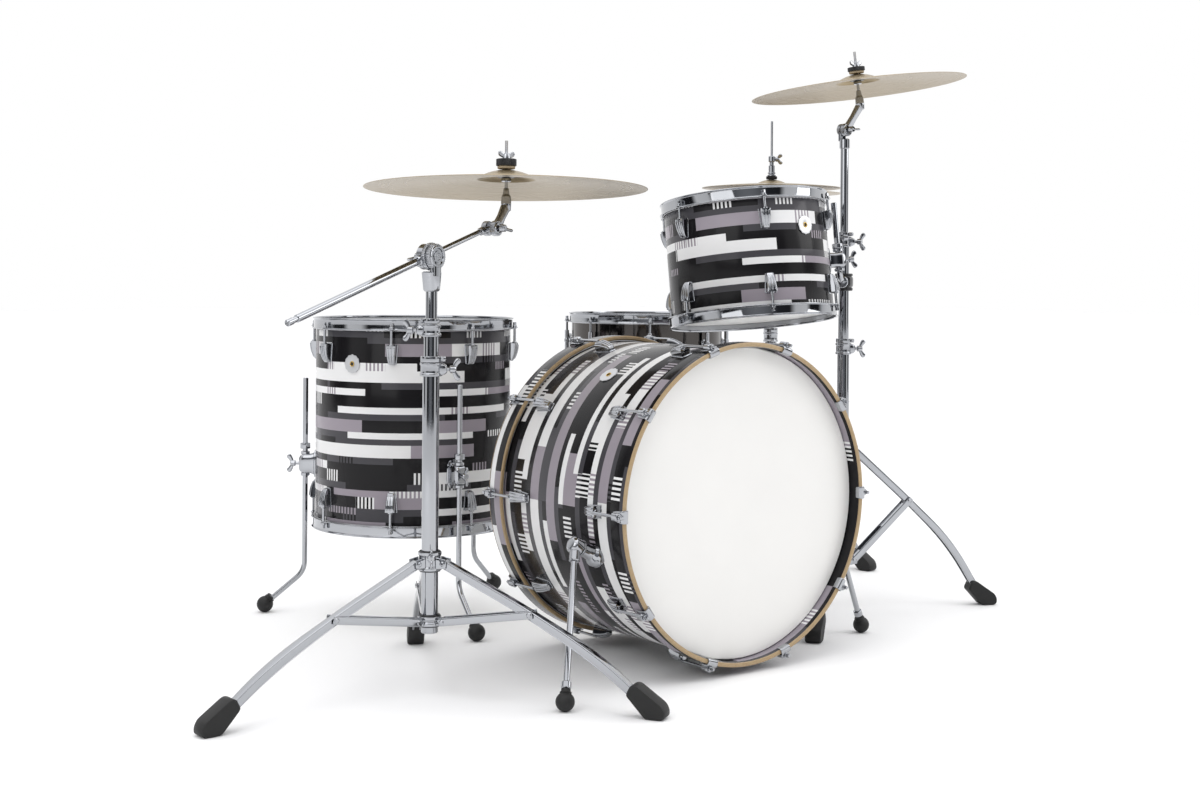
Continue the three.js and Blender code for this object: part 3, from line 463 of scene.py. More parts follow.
def moved(offset):
    """A matrix that moves by an offset in millimetres."""
    return np.array(Matrix.Translation(offset))


def turned_about_z(degrees):
    """A matrix that turns about Z."""
    return np.array(Matrix.Rotation(math.radians(degrees), 4, "Z"))


def stood_at(origin, direction):
    """A matrix that stands local Z along a direction, with the origin at a point."""
    turn = Vector((0, 0, 1)).rotation_difference(Vector(direction).normalized())
    return np.array(Matrix.Translation(origin) @ turn.to_matrix().to_4x4())


def placed(shape, *matrices):
    """Applies matrices to a shape, the last one first."""
    points, faces = shape
    for matrix in reversed(matrices):
        points = points @ matrix[:3, :3].T + matrix[:3, 3]
    return points, faces


# %% Turning shapes into a piece


def piece(name, parts, body, *nodes, slot="chrome"):
    """Joins (shape, material) pairs into one mesh that rides on a body and stands for CAD nodes."""
    sizes = [len(points) for (points, _), _ in parts]
    starts = np.cumsum([0] + sizes[:-1])
    points = np.vstack([shape[0] for shape, _ in parts]) * MM
    faces = np.vstack([shape[1] + start for (shape, _), start in zip(parts, starts)])
    looks = list(dict.fromkeys(look for _, look in parts))
    numbers = np.repeat([looks.index(look) for _, look in parts], [len(shape[1]) for shape, _ in parts])
    mesh = bpy.data.meshes.new(name)
    mesh.from_pydata(points.tolist(), [], faces.tolist())
    for look in looks:
        mesh.materials.append(look)
    mesh.polygons.foreach_set("material_index", numbers.astype(np.int32))
    work = bmesh.new()
    work.from_mesh(mesh)
    bmesh.ops.remove_doubles(work, verts=work.verts, dist=2e-6)
    bmesh.ops.recalc_face_normals(work, faces=work.faces)
    work.to_mesh(mesh)
    work.free()
    mesh.shade_smooth()
    mesh.set_sharp_from_angle(angle=math.radians(38))
    made = bpy.data.objects.new(name, mesh)
    bpy.context.scene.collection.objects.link(made)
    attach(made, body)
    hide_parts(*nodes)
    return made


# %% Places read from the frame
JOINTS = {joint["name"]: joint for joint in frame["joints"]}


def pivot(name):
    """A joint's pivot in millimetres."""
    return np.array(JOINTS[name]["pos_m"]) / MM


def middle(node):
    """The centre of a node's box in millimetres."""
    low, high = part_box(node)
    return np.array((low + high) / 2) / MM


def axis_of(upper_head, lower_head):
    """A drum's middle and the direction from its lower to its upper head."""
    top, bottom = middle(upper_head), middle(lower_head)
    return (top + bottom) / 2, (top - bottom) / np.linalg.norm(top - bottom)


def euler_of(matrix):
    """The turn of a matrix as the three angles that a Mapping node takes."""
    return Matrix(matrix.tolist()).to_euler("XYZ")


def round_the(count, first=0.0):
    """Angles in degrees of pieces set evenly round a circle."""
    return first + np.arange(count) * 360.0 / count


# %% [markdown]
# ## Parts that repeat on every drum
# Wing bolts, key rods, lugs and flanged hoops are the same pieces at different sizes, so each is one
# function. A flanged hoop is rolled from 2.3 mm steel: a lower flange with an ear at each rod, an
# upright wall and a rolled upper lip.

# %% Wing bolts and rods


def wing_bolt(start, direction, shank=14.0, span=30.0):
    """A screw along local Z, a hub, and two rounded wings that sweep up from it."""
    stand = stood_at(start, direction)
    half = span / 2
    ears = smooth_path([(-half, 0, shank + 13), (-half * 0.75, 0, shank + 8), (-half * 0.3, 0, shank + 4),
                        (0, 0, shank + 3), (half * 0.3, 0, shank + 4), (half * 0.75, 0, shank + 8),
                        (half, 0, shank + 13)], 29)
    depth = np.interp(np.abs(np.linspace(-1, 1, 29)), [0, 0.3, 0.8, 1], [8, 7, 10.5, 7])
    return [placed(shape, stand) for shape in (
        rod((0, 0, -6), (0, 0, shank), 3.2, 16), rod((0, 0, shank - 4), (0, 0, shank + 7), 6.5, 20, 1.5),
        loft(ears, 4.4, depth, (0, 1, 0), 3, 20, 1.2))]


def key_rod(head_height, end_height, x, y):
    """A tension rod with a washer and a square key head, along the drum's axis."""
    lift = np.sign(head_height - end_height) * 1.0
    return [
        rod((x, y, head_height), (x, y, end_height), 2.8, 12),
        rod((x, y, head_height), (x, y, head_height + lift * 1.6), 6.4, 20, 0.4),
        rod((x, y, head_height + lift * 1.6), (x, y, head_height + lift * 5.5), 4.6, 18, 0.8),
        loft([(x, y, head_height + lift * 5), (x, y, head_height + lift * 12)], 5.4, 5.4, (1, 0, 0), 9, 16,
             0.8),
    ]


# %% Lugs


def cast_lug(radius, angle, height, end):
    """A die-cast lug: a body that widens towards the hoop, three raised flutes down its face, and a
    socket for the rod. The section at each height is a superellipse."""
    stand = [turned_about_z(angle), moved((radius, 0, height)), np.diag([1.0, 1.0, end, 1.0])]
    lift = np.linspace(-19, 19, 25)
    share = (lift + 19) / 38
    wide = 14 + 8.5 * share ** 0.8
    deep = 7 + 10.5 * np.sin(np.clip(share * 1.15, 0, 1) * np.pi / 2) ** 0.7
    path = np.stack([deep / 2 - 0.5, 0 * lift, lift], 1)
    shapes = [loft(path, wide, deep + 1, (0, 1, 0), 4.5, 40, 1.6)]
    for place in (-0.3, 0, 0.3):
        flute = np.stack([deep + 0.3, place * wide, lift], 1)[2:22]
        shapes.append(loft(flute, 3.4, 2.2, (0, 1, 0), 2.4, 14, 0.8))
    shapes += [rod((11, 0, 14), (11, 0, 20.5), 5.4, 24, 0.8),
               loft([(-0.8, 0, -20.5), (-0.8, 0, 20)], [17, 24.5], 3.4, (0, 1, 0), 5, 24, 1)]
    return [placed(shape, *stand) for shape in shapes]


# %% Shell, head and hoop of a drum


def shell_parts(radius, depth, look, inside, wall=6.0):
    """A ply tube: the outer face in one finish, the bearing edges and the inside in another."""
    half = depth / 2
    lip = 1.6
    outer = [(radius, -half + lip), (radius, half - lip)]
    rest = [(radius, half - lip), (radius - 1.2, half), (radius - wall, half - 5), (radius - wall, -half + 5),
            (radius - 1.2, -half), (radius, -half + lip)]
    return [(lathe(outer, 144), look), (lathe(rest, 144), inside)]


def head_parts(radius, depth, end, film):
    """Film over the edge with a shallow crown in its collar, and the aluminium ring round it."""
    edge = depth / 2
    top = [(0, edge + 0.9), (radius - 14, edge + 0.9), (radius - 5, edge + 0.8), (radius - 0.4, edge + 0.7),
           (radius + 1.0, edge - 0.6), (radius + 1.2, edge - 6.5)]
    under = [(radius + 0.8, edge - 6.5), (radius + 0.6, edge - 0.4), (radius - 0.6, edge + 0.45),
             (0, edge + 0.45)]
    ring = rounded([(radius + 0.6, edge - 9.8), (radius + 2.5, edge - 9.8), (radius + 2.5, edge - 5.5),
                    (radius + 0.6, edge - 5.5)], 0.4)
    skin = np.array(top + under) * (1, end)
    return [(lathe(skin, 144, True), film), (lathe(ring * (1, end), 144, True), ALUMINIUM)]


def flanged_hoop_parts(radius, depth, end, angles, rod_length):
    """The hoop's wall, lip and flange as one closed profile; ears swell the flange at each rod."""
    edge = depth / 2
    inner, wall, flange = radius + 2.9, 2.1, 3.6
    profile = rounded([
        (inner, edge - 9), (inner + flange + 2, edge - 9), (inner + flange + 2, edge - 6.8),
        (inner + wall, edge - 6.4), (inner + wall, edge + 10.5), (inner + wall + 2.6, edge + 12.6),
        (inner + wall + 2.2, edge + 14), (inner + 0.6, edge + 13.4), (inner, edge + 11)], 1.0)
    share = np.clip((profile[:, 0] - inner - wall - 0.2) / flange, 0, 1) * (profile[:, 1] < edge)
    reach = radius + 11.0

    def ears(turn):
        """1 at a rod and 0 between rods, with soft shoulders 11 mm to each side."""
        gap = np.abs((np.degrees(turn)[:, None] - angles[None] + 180) % 360 - 180).min(1)
        return 7.0 * np.exp(-(np.radians(gap) * reach / 10.5) ** 4)

    parts = [lathe(profile * (1, end), 360, True, (share, ears))]
    for angle in np.radians(angles):
        x, y = reach * math.cos(angle), reach * math.sin(angle)
        parts += key_rod(end * (edge - 6.6), end * (edge - rod_length), x, y)
    return [(shape, CHROME) for shape in parts]


# %% Badge


def badge(radius, angle, height):
    """A plain round disc with a brass vent eyelet through its middle; it carries no lettering."""
    stand = [turned_about_z(angle), moved((radius, 0, height)),
             np.array(Matrix.Rotation(math.pi / 2, 4, "Y"))]
    disc = rounded([(5.5, 0.1), (18.5, 0.1), (18.5, 1.9), (5.5, 1.9)], 0.7)
    scallops = (disc[:, 0] > 18) * 0.6, lambda turn: np.cos(12 * turn)
    eyelet = rounded([(3.6, -1), (5.4, -1), (5.4, 2.6), (3.6, 2.6)], 0.8)
    return [(placed(lathe(disc, 144, True, scallops), *stand), ALUMINIUM),
            (placed(lathe(eyelet, 32, True), *stand), BRASS),
            (placed(rod((0, 0, -1), (0, 0, 0.6), 3.5), *stand), NYLON)]


# %% [markdown]
# ## The toms and the snare
# Each of these drums is a shell between two heads and two hoops. The frame's heads give each drum's
# middle and lean; the sizes are trade sizes in inches.

# %% Building a tom or the snare
INCH = 25.4


def drum_at(name, radius, depth):
    """The matrix of a drum's own frame and the wrap that follows it."""
    centre, lean = axis_of(f"{name}_top_head", f"{name}_bottom_head")
    stand = stood_at(centre, lean)
    look = wrap(f"striped_wrap_{name}", centre * MM, euler_of(stand), radius * MM, depth / 2 * MM)
    return stand, look


def add_drum(name, body, radius, depth, stand, shell, angles, rod_length, batter):
    """Adds a drum's five pieces: shell, two heads and two hoops."""
    def kit(parts):
        return [(placed(shape, stand), look) for shape, look in parts]

    piece(f"{name}_shell_fine", kit(shell), body, f"{name}_shell",
          slot="wrap" if name != "snare" else "black_nickel")
    for side, end, film in (("top", 1, batter), ("bottom", -1, SMOOTH_FILM)):
        piece(f"{name}_{side}_head_fine", kit(head_parts(radius, depth, end, film)), body,
              f"{name}_{side}_head", slot="mylar")
        piece(f"{name}_{side}_hoop_fine", kit(flanged_hoop_parts(radius, depth, end, angles, rod_length)),
              body, f"{name}_{side}_hoop")


def lug_rows(radius, depth, angles, inset):
    """Two rows of cast lugs, set in from both edges."""
    shapes = []
    for angle in angles:
        for end in (-1, 1):
            shapes += cast_lug(radius, angle, end * (depth / 2 - inset), end)
    return [(shape, CHROME) for shape in shapes]


# %% Floor tom
TOM = {"radius": 8 * INCH, "depth": 16 * INCH, "inset": 56, "angles": round_the(8, 1.8)}
LEG_TURNS = round_the(3, 142.5)
LEG_REACH = TOM["radius"] + 24
BRACKET_HEIGHT = 314 - 406


def leg_bracket(turn, height):
    """A cast block with a rounded nose round the leg, a foot plate on the shell and a wing bolt."""
    stand = [turned_about_z(turn)]
    reach, nose = LEG_REACH, LEG_REACH + 12
    shapes = [
        loft([(TOM["radius"] - 1, 0, height), (TOM["radius"] + 4, 0, height)], 34, 58, (0, 1, 0), 3.5, 36,
             1.2),
        loft([(TOM["radius"] + 2, 0, height), (reach - 10, 0, height), (reach, 0, height), (nose, 0, height)],
             [26, 24, 27, 22], [46, 40, 42, 34], (0, 1, 0), 4.5, 36, 2.5),
        rod((reach, 0, height + 19), (reach, 0, height + 26), 9.5, 28, 1.2),
        rod((reach, 0, height - 26), (reach, 0, height - 19), 9.5, 28, 1.2),
    ]
    shapes += wing_bolt((nose, 0, height), (1, 0, 0), 12, 34)
    return [(placed(shape, *stand), CHROME) for shape in shapes]


tom_frame, tom_wrap = drum_at("floor_tom", TOM["radius"], TOM["depth"])
tom_shell = shell_parts(TOM["radius"], TOM["depth"], tom_wrap, MAPLE)
tom_shell += lug_rows(TOM["radius"], TOM["depth"], TOM["angles"], TOM["inset"])
tom_shell += [part for turn in LEG_TURNS for part in leg_bracket(turn, BRACKET_HEIGHT)]
tom_shell += badge(TOM["radius"], 202, 127)
add_drum("floor_tom", "kit", TOM["radius"], TOM["depth"], tom_frame, tom_shell, TOM["angles"],
         TOM["inset"] - 17.5, COATED_FILM)

# %% Rubber feet and bent legs


def arc_path(points, radius, steps=7):
    """A path through points in XZ with its corners rounded."""
    flat = rounded(points, radius, False, steps)
    return np.stack([flat[:, 0], np.zeros(len(flat)), flat[:, 1]], 1)


def ball_foot(radius):
    """A moulded rubber ball on its own neck, ribbed near the top; its bottom is at zero."""
    lift = np.linspace(-np.pi / 2, 0.95, 18)
    body = np.stack([radius * np.cos(lift), radius + radius * np.sin(lift)], 1)
    neck = [(radius * 0.62, radius * 1.86), (radius * 0.62, radius * 2.0), (radius * 0.5, radius * 2.08),
            (radius * 0.5, radius * 2.3), (0, radius * 2.34)]
    return lathe(np.vstack([body, neck]), 40)


for number, turn in enumerate(LEG_TURNS, 1):
    reach, foot_reach, bend, foot_radius = LEG_REACH, LEG_REACH + 83, 88, 17
    stand = [tom_frame, moved((0, 0, -middle("floor_tom_top_head")[2] + TOM["depth"] / 2 - 4.4)),
             turned_about_z(turn)]
    stand[1] = moved((0, 0, -tom_frame[2, 3]))
    path = arc_path([(reach, 494), (reach, bend), (foot_reach, 17)], 22)
    lean = math.atan2(foot_reach - reach, bend - 17)
    foot_turn = np.array(Matrix.Rotation(-lean * 0.75, 4, "Y"))
    foot = placed(ball_foot(foot_radius), moved((foot_reach, 0, foot_radius)), foot_turn,
                  moved((0, 0, -foot_radius)))
    memory = lathe(rounded([(5.7, 0), (10.5, 0), (10.5, 12), (5.7, 12)], 1.2), 32, True)
    shapes = [(loft(path, 11, 11, (0, 1, 0), 2, 20), CHROME), (foot, RUBBER),
              (placed(memory, moved((reach, 0, 345))), CHROME)]
    piece(f"floor_tom_leg_{number}_fine", [(placed(s, *stand), look) for s, look in shapes],
          f"floor_tom_leg_{number}", f"floor_tom_leg_{number}")

# %% [markdown]
# ## The bass drum
# A 22 by 14 inch shell lying on its side. Its hoops are maple with an inlay of the same wrap, and ten
# claws on each hold them to the lugs. Two spurs fold out from the shell and keep it from creeping.

# %% Bass drum shell and heads
BASS = {"radius": 11 * INCH, "depth": 14 * INCH, "inset": 68, "angles": round_the(10)}
bass_centre, bass_axis = axis_of("bass_front_head", "bass_rear_head")
bass_frame = stood_at(bass_centre, bass_axis)
PLAN = np.array([bass_centre[0], bass_centre[1], 0.0])  # the plan's origin is below the bass drum
bass_wrap = wrap("striped_wrap_bass", bass_centre * MM, euler_of(bass_frame), BASS["radius"] * MM,
                 BASS["depth"] / 2 * MM)
SPUR_LEAN = 25  # degrees that a spur leans out


def spur_stub(side):
    """The cast stub that carries a spur, from the shell out to just short of the hinge."""
    name = "spur_right_fold" if side > 0 else "spur_left_fold"
    axis = np.array([side * math.cos(math.radians(SPUR_LEAN)), 0, math.sin(math.radians(SPUR_LEAN))])
    hinge = pivot(name)
    stand = stood_at(hinge - axis * 57, axis)
    profile = [(0, 0), (21, 0), (21, 10), (19, 16), (14, 22), (13, 30), (13, 42), (15, 44), (15, 46.2),
               (0, 46.6)]
    return placed(lathe(rounded(profile, 1.5, False), 48), stand)


def on(stand, parts):
    """Places (shape, material) pairs by a matrix."""
    return [(placed(shape, stand), look) for shape, look in parts]


bass_shell = shell_parts(BASS["radius"], BASS["depth"], bass_wrap, MAPLE)
bass_shell += lug_rows(BASS["radius"], BASS["depth"], BASS["angles"], BASS["inset"])
bass_shell += badge(BASS["radius"], 126, 0)
bass_shell = on(bass_frame, bass_shell) + [(spur_stub(side), CHROME) for side in (-1, 1)]
piece("bass_shell_fine", bass_shell, "kit", "bass_shell", slot="wrap")
for side, end in (("front", 1), ("rear", -1)):
    parts = head_parts(BASS["radius"], BASS["depth"], end, SMOOTH_FILM if end > 0 else COATED_FILM)
    piece(f"bass_{side}_head_fine", on(bass_frame, parts), "kit", f"bass_{side}_head", slot="mylar")

# %% Bass hoops with claws


def claw(radius, front, edge, end):
    """A pressed claw over the hoop: a strip bent round its front, a boss and a key rod."""
    reach = radius + 18
    strip = [(radius + 1.4, 0, front - 9), (radius + 1.2, 0, front - 2), (radius + 2.8, 0, front + 1.4),
             (radius + 7, 0, front + 2), (radius + 13, 0, front + 1.6), (radius + 14.4, 0, front - 4),
             (radius + 13.6, 0, front - 16), (radius + 13, 0, front - 25)]
    curved = smooth_path(strip, 28)
    along = np.linspace(0, 1, 28)
    width = 20 + 3.5 * np.sin(along * np.pi) - 5 * along ** 3
    shapes = [
        loft(curved, width, 2.4, (0, 1, 0), 6, 24, 0.6),
        loft([(reach, 0, front - 19), (reach, 0, front - 5)], 12, 14, (1, 0, 0), 3.2, 28, 1.6),
        loft([(radius + 12.5, 0, front - 20), (radius + 12.5, 0, front + 0.5)], 4, 12, (1, 0, 0), 5, 20, 1),
    ] + key_rod(front - 4, edge - 51.5, reach, 0)
    mirror = np.diag([1.0, 1.0, end, 1.0])
    return [placed(shape, mirror) for shape in shapes]


def bass_hoop(end):
    """A hoop with rounded edges in bare maple and wrap on its outer and inner faces."""
    radius, edge = BASS["radius"], BASS["depth"] / 2
    inner, outer, front, back = radius + 2.9, radius + 11, edge + 26, edge - 12
    wrapped_out = [(outer, back + 2), (outer, front - 3)]
    face = [(outer, front - 3), (outer - 0.8, front - 0.8), (outer - 3, front), (inner + 3, front),
            (inner + 0.8, front - 0.8), (inner, front - 3)]
    wrapped_in = [(inner, front - 3), (inner, back + 2)]
    rear = [(inner, back + 2), (inner + 2, back), (outer - 2, back), (outer, back + 2)]
    flip = (1, end)
    parts = [(lathe(np.array(wrapped_out) * flip, 160), bass_wrap),
             (lathe(np.array(face) * flip, 160), MAPLE),
             (lathe(np.array(wrapped_in) * flip, 160), bass_wrap), (lathe(np.array(rear) * flip, 160), MAPLE)]
    for angle in BASS["angles"]:
        parts += [(placed(s, turned_about_z(angle)), CHROME) for s in claw(radius, front, edge, end)]
    return parts


for side, end in (("front", 1), ("rear", -1)):
    piece(f"bass_{side}_hoop_fine", on(bass_frame, bass_hoop(end)), "kit", f"bass_{side}_hoop",
          slot="hoop_wrap")

# %% Spurs


def spur(name, side, forward):
    """The knuckle on the hinge, the leg with its memory ring, and the rubber foot."""
    lean, swing = math.radians(SPUR_LEAN), math.radians(forward)
    axis = np.array([side * math.cos(lean), 0, math.sin(lean)])
    down = np.array([side * math.sin(lean) * math.cos(swing), -math.sin(swing),
                     -math.cos(lean) * math.cos(swing)])
    hinge = pivot(f"{name}_fold")
    foot = hinge + down * (hinge[2] - 16) / -down[2]
    length = np.linalg.norm(foot - hinge)
    knuckle = lathe(rounded([(0, -9.6), (15, -9.6), (15, 7), (10, 11.6), (0, 12)], 2, False), 48)
    shapes = [
        (placed(knuckle, stood_at(hinge, axis)), CHROME),
        (rod(hinge + down * 4, hinge + down * 30, 9.5, 32, 1.5), CHROME),
        (rod(hinge, foot - down * 6, 5.5, 24), CHROME),
        (rod(foot - down * 34, foot - down * 22, 8.5, 28, 1.2), CHROME),
        (placed(ball_foot(16), stood_at(foot + down * 16, -down)), RUBBER),
    ]
    print(name, "leg length in mm", round(float(length), 1))
    piece(f"{name}_fine", shapes, name, name)


spur("spur_left", -1, 25)
spur("spur_right", 1, -5)

# %% [markdown]
# ## The rack tom, its arm and its clamp
# The 13 by 9 inch tom hangs from the straight stand: an L-shaped rod passes up through a bracket on
# the shell, and its lower end is held in a black cast clamp on the stand.

# %% Rack tom
RACK = {"radius": 6.5 * INCH, "depth": 9 * INCH, "inset": 50, "angles": round_the(6, 0.5)}
RACK_BRACKET_TURN = -29.5
RACK_REACH = RACK["radius"] + 26


def rack_bracket():
    """The clamp on the shell through which the arm passes."""
    reach, low, high = RACK_REACH, -26, 10
    shapes = [
        loft([(RACK["radius"] - 1, 0, -8), (RACK["radius"] + 4, 0, -8)], 40, 56, (0, 1, 0), 3.5, 36, 1.2),
        loft([(RACK["radius"] + 2, 0, -8), (reach - 9, 0, -8), (reach + 3, 0, -8), (reach + 13.5, 0, -8)],
             [24, 22, 25, 19], [32, 30, 33, 26], (0, 1, 0), 4.5, 36, 2.5),
        rod((reach, 0, high - 1), (reach, 0, high + 6), 10.5, 28, 1.2),
        rod((reach, 0, low - 5), (reach, 0, low + 1), 10.5, 28, 1.2),
    ] + wing_bolt((reach + 13, 0, -8), (1, 0, 0), 12, 32)
    return [(placed(shape, turned_about_z(RACK_BRACKET_TURN)), CHROME) for shape in shapes]


rack_frame, rack_wrap = drum_at("rack_tom", RACK["radius"], RACK["depth"])
rack_shell = shell_parts(RACK["radius"], RACK["depth"], rack_wrap, MAPLE)
rack_shell += lug_rows(RACK["radius"], RACK["depth"], RACK["angles"], RACK["inset"])
rack_shell += rack_bracket() + badge(RACK["radius"], -88, 50)
add_drum("rack_tom", "rack_tom", RACK["radius"], RACK["depth"], rack_frame, rack_shell, RACK["angles"],
         RACK["inset"] - 17.5, COATED_FILM)

# %% The arm and the clamp
STRAIGHT_AT = PLAN + (556, 107, 0)
CLAMP_HEIGHT = 703


def kit_point(matrix, point):
    """A point of a local frame in kit millimetres."""
    return matrix[:3, :3] @ np.array(point, float) + matrix[:3, 3]


turn = math.radians(RACK_BRACKET_TURN)
arm_local = np.array([math.cos(turn), math.sin(turn)]) * RACK_REACH
arm_top = kit_point(rack_frame, (*arm_local, 112))
arm_elbow = kit_point(rack_frame, (*arm_local, -46))
clamp_at = STRAIGHT_AT + (0, 0, CLAMP_HEIGHT)
spot = PLAN[:2] + (290 + math.cos(turn) * RACK_REACH, 120 + math.sin(turn) * RACK_REACH)
arm_turn = math.degrees(math.atan2(*(spot - STRAIGHT_AT[:2])[::-1]))
arm_way = np.array([math.cos(math.radians(arm_turn)), math.sin(math.radians(arm_turn)), 0])
arm_start = clamp_at + arm_way * 29.5
bend = arm_elbow + (arm_start - arm_elbow) / np.linalg.norm(arm_start - arm_elbow) * 16
rise = arm_elbow + (arm_top - arm_elbow) / np.linalg.norm(arm_top - arm_elbow) * 16
corner = [bend * (1 - t) ** 2 + 2 * t * (1 - t) * arm_elbow + rise * t ** 2 for t in np.linspace(0, 1, 9)]
arm_path = [arm_start + (bend - arm_start) * 0.02, *corner, arm_top]
memory_ring = stood_at(arm_elbow, arm_top - arm_elbow)
arm_parts = [
    (loft(arm_path, 12, 12, np.cross(arm_way, (0, 0, 1)), 2, 24, 0.8), CHROME),
    (rod(arm_start, arm_start + arm_way * 16, 13, 36, 1.5), CHROME),
    (placed(lathe(rounded([(6.2, 62), (11, 62), (11, 72), (6.2, 72)], 1.2), 32, True), memory_ring), CHROME),
]
piece("tom_arm_fine", arm_parts, "rack_tom", "tom_arm")

clamp_stand = moved(clamp_at) @ turned_about_z(arm_turn)
clamp_parts = [
    (loft([(-34, 0, 0), (-26, 0, 0), (-18, 0, 0), (16, 0, 0), (27.5, 0, 0)], [24, 34, 37, 37, 31],
          [20, 25, 27, 27, 25],
          (0, 1, 0), 4.5, 40, 2.5), NYLON),
    (rod((0, 0, -19), (0, 0, -12), 19, 48, 1.5), NYLON), (rod((0, 0, 12), (0, 0, 18), 19, 48, 1.5), NYLON),
    (rod((-25, 0, -16), (-25, 0, 14), 6.5, 24, 1.2), CHROME),
] + [(shape, CHROME) for shape in wing_bolt((-25, 0, 12), (0, 0, 1), 9, 32)]
piece("tom_clamp_fine", on(clamp_stand, clamp_parts), "straight_middle_tube", "tom_clamp",
      slot="black_plastic")

# %% [markdown]
# ## The snare drum
# A thin steel shell under black nickel plate, with a raised bead round its middle and slim tube lugs
# that reach from hoop to hoop. Twenty coiled wires lie under the lower head, and a throw-off on the
# side lets them drop away.

# %% Snare shell, lugs and throw-off
SNARE = {"radius": 7 * INCH, "depth": 6.5 * INCH, "angles": round_the(8, 8)}
LEVER_TURN = 120


def snare_shell():
    """A rolled shell: beads raised where the profile swells by 1.6 mm, and edges turned inwards."""
    radius, half = SNARE["radius"], SNARE["depth"] / 2
    height = np.linspace(-half + 1.2, half - 1.2, 91)
    bead = 1.5 * np.exp(-((np.abs(height) - 9) / 3.2) ** 2)
    outer = np.stack([radius + bead, height], 1)
    inner = np.stack([radius - 1.2 + bead[::-1], height[::-1]], 1)
    turned_in = [[radius - 1, half], [radius - 4, half - 1], [radius - 4, half - 2.5]]
    turned_low = [[radius - 4, -half + 2.5], [radius - 4, -half + 1], [radius - 1, -half]]
    return lathe(np.vstack([outer, turned_in, inner[1:-1], turned_low]), 144, True)


def tube_lug(angle):
    """A slim tube held off the shell by two posts, with a turned collar at each."""
    radius, half = SNARE["radius"], SNARE["depth"] / 2
    reach = radius + 11
    shapes = [rod((reach, 0, -half + 28), (reach, 0, half - 28), 5, 28, 1.2)]
    for height in (-30, 30):
        shapes.append(placed(lathe(rounded([(0, -1), (8, -1), (8, 1.5), (4.5, 3), (4, 12), (0, 12)], 0.8,
                                           False), 28),
                             moved((radius, 0, height)), np.array(Matrix.Rotation(math.pi / 2, 4, "Y"))))
        shapes.append(rod((reach, 0, height - 4), (reach, 0, height + 4), 6.4, 28, 1.2))
    return [(placed(shape, turned_about_z(angle)), CHROME) for shape in shapes]


def throw_off():
    """The strainer's cast body on the shell."""
    radius = SNARE["radius"]
    shapes = [
        loft([(radius - 1, 0, 8), (radius + 3, 0, 8)], 32, 66, (0, 1, 0), 4, 36, 1.2),
        loft([(radius + 2, 0, 8), (radius + 8, 0, 8), (radius + 13.5, 0, 8)], [30, 28, 24], [60, 58, 52],
             (0, 1, 0), 5, 36, 1.8),
        rod((radius + 7, 0, -40), (radius + 7, 0, -20), 5.5, 24, 1.2),
        rod((radius + 7, 0, -47), (radius + 7, 0, -40), 7.5, 24, 1.2),
    ]
    return [(placed(shape, turned_about_z(LEVER_TURN)), CHROME) for shape in shapes]


snare_centre, snare_lean = axis_of("snare_top_head", "snare_bottom_head")
snare_frame = stood_at(snare_centre, snare_lean)
snare_parts = [(snare_shell(), BLACK_NICKEL)] + throw_off()
snare_parts += [part for angle in SNARE["angles"] for part in tube_lug(angle)]
snare_parts += badge(SNARE["radius"] + 0.2, 30.5 + 180, 0)
add_drum("snare", "snare_drum", SNARE["radius"], SNARE["depth"], snare_frame, snare_parts, SNARE["angles"],
         28, COATED_FILM)

# %% Snare wires and lever


def snare_wires():
    """Twenty helices of 0.5 mm wire side by side: each turns by the cosine and sine of its phase."""
    half = SNARE["depth"] / 2
    low = -half - 1.3 - 0.4 - 1.1
    turns, steps = 70, 560
    along = np.linspace(-105, 105, steps)
    phase = np.linspace(0, 2 * np.pi * turns, steps)
    parts = []
    for place in np.linspace(-18, 18, 10):
        path = np.stack([along, place + 0.75 * np.cos(phase), low + 0.75 * np.sin(phase)], 1)
        parts.append((loft(path, 0.55, 0.55, (0.2, 1, 0.1), 2, 5, 0.1), SNARE_WIRE))
    for end in (-1, 1):
        parts.append((box((16, 44, 1.6), (end * 112, 0, low), 0, 0.4), CHROME))
    return parts


def lever():
    """The throw-off's handle: a flat bar that widens to a curled tip."""
    radius = SNARE["radius"]
    bar = smooth_path([(radius + 17, 0, -11.5), (radius + 17, 0, 0), (radius + 17, 0, 24),
                       (radius + 19, 0, 38),
                       (radius + 24, 0, 44)], 24)
    width = np.interp(np.linspace(0, 1, 24), [0, 0.5, 1], [14, 16, 23])
    shapes = [loft(bar, width, 3.4, (0, 1, 0), 5, 24, 0.8),
              rod((radius + 17, -10, -10), (radius + 17, 10, -10), 3.2, 24, 0.8)]
    return [(placed(shape, turned_about_z(LEVER_TURN)), CHROME) for shape in shapes]


wire_stand = snare_frame @ turned_about_z(LEVER_TURN)
piece("snare_wires_fine", on(wire_stand, snare_wires()), "snare_drum", "snare_wires")
piece("snare_lever_fine", on(snare_frame, lever()), "snare_lever", "snare_lever")

# %% [markdown]
# ## Cymbals
# A cymbal's section is a gentle bow with a small dome, the bell, at its centre. The metal thins
# from 1.6 mm near the bell to under a millimetre at the edge.

# %% Cymbals


def cymbal(radius, rise, sides=192):
    """Height is 0.55 of the rise times one minus the 1.6 power of the radius' share, plus a
    parabolic bell on the inner fifth."""
    reach = np.unique(np.concatenate([np.linspace(6.2, radius * 0.23, 40),
                                      np.linspace(radius * 0.23, radius, 60)]))
    share = reach / radius
    bell = np.clip(1 - (share / 0.21) ** 2, 0, None) ** 0.85
    height = rise * (0.55 * (1 - share ** 1.6) + 0.44 * bell)
    thick = np.interp(share, [0, 0.3, 1], [1.5, 1.4, 0.9])
    top = np.stack([reach, height], 1)
    under = np.stack([reach, height - thick], 1)[::-1]
    edge = [[radius + 0.3, -0.45]]
    hole = [[5.9, rise * 0.99 - 0.7]]
    return lathe(np.vstack([top, edge, under, hole]), sides, True)


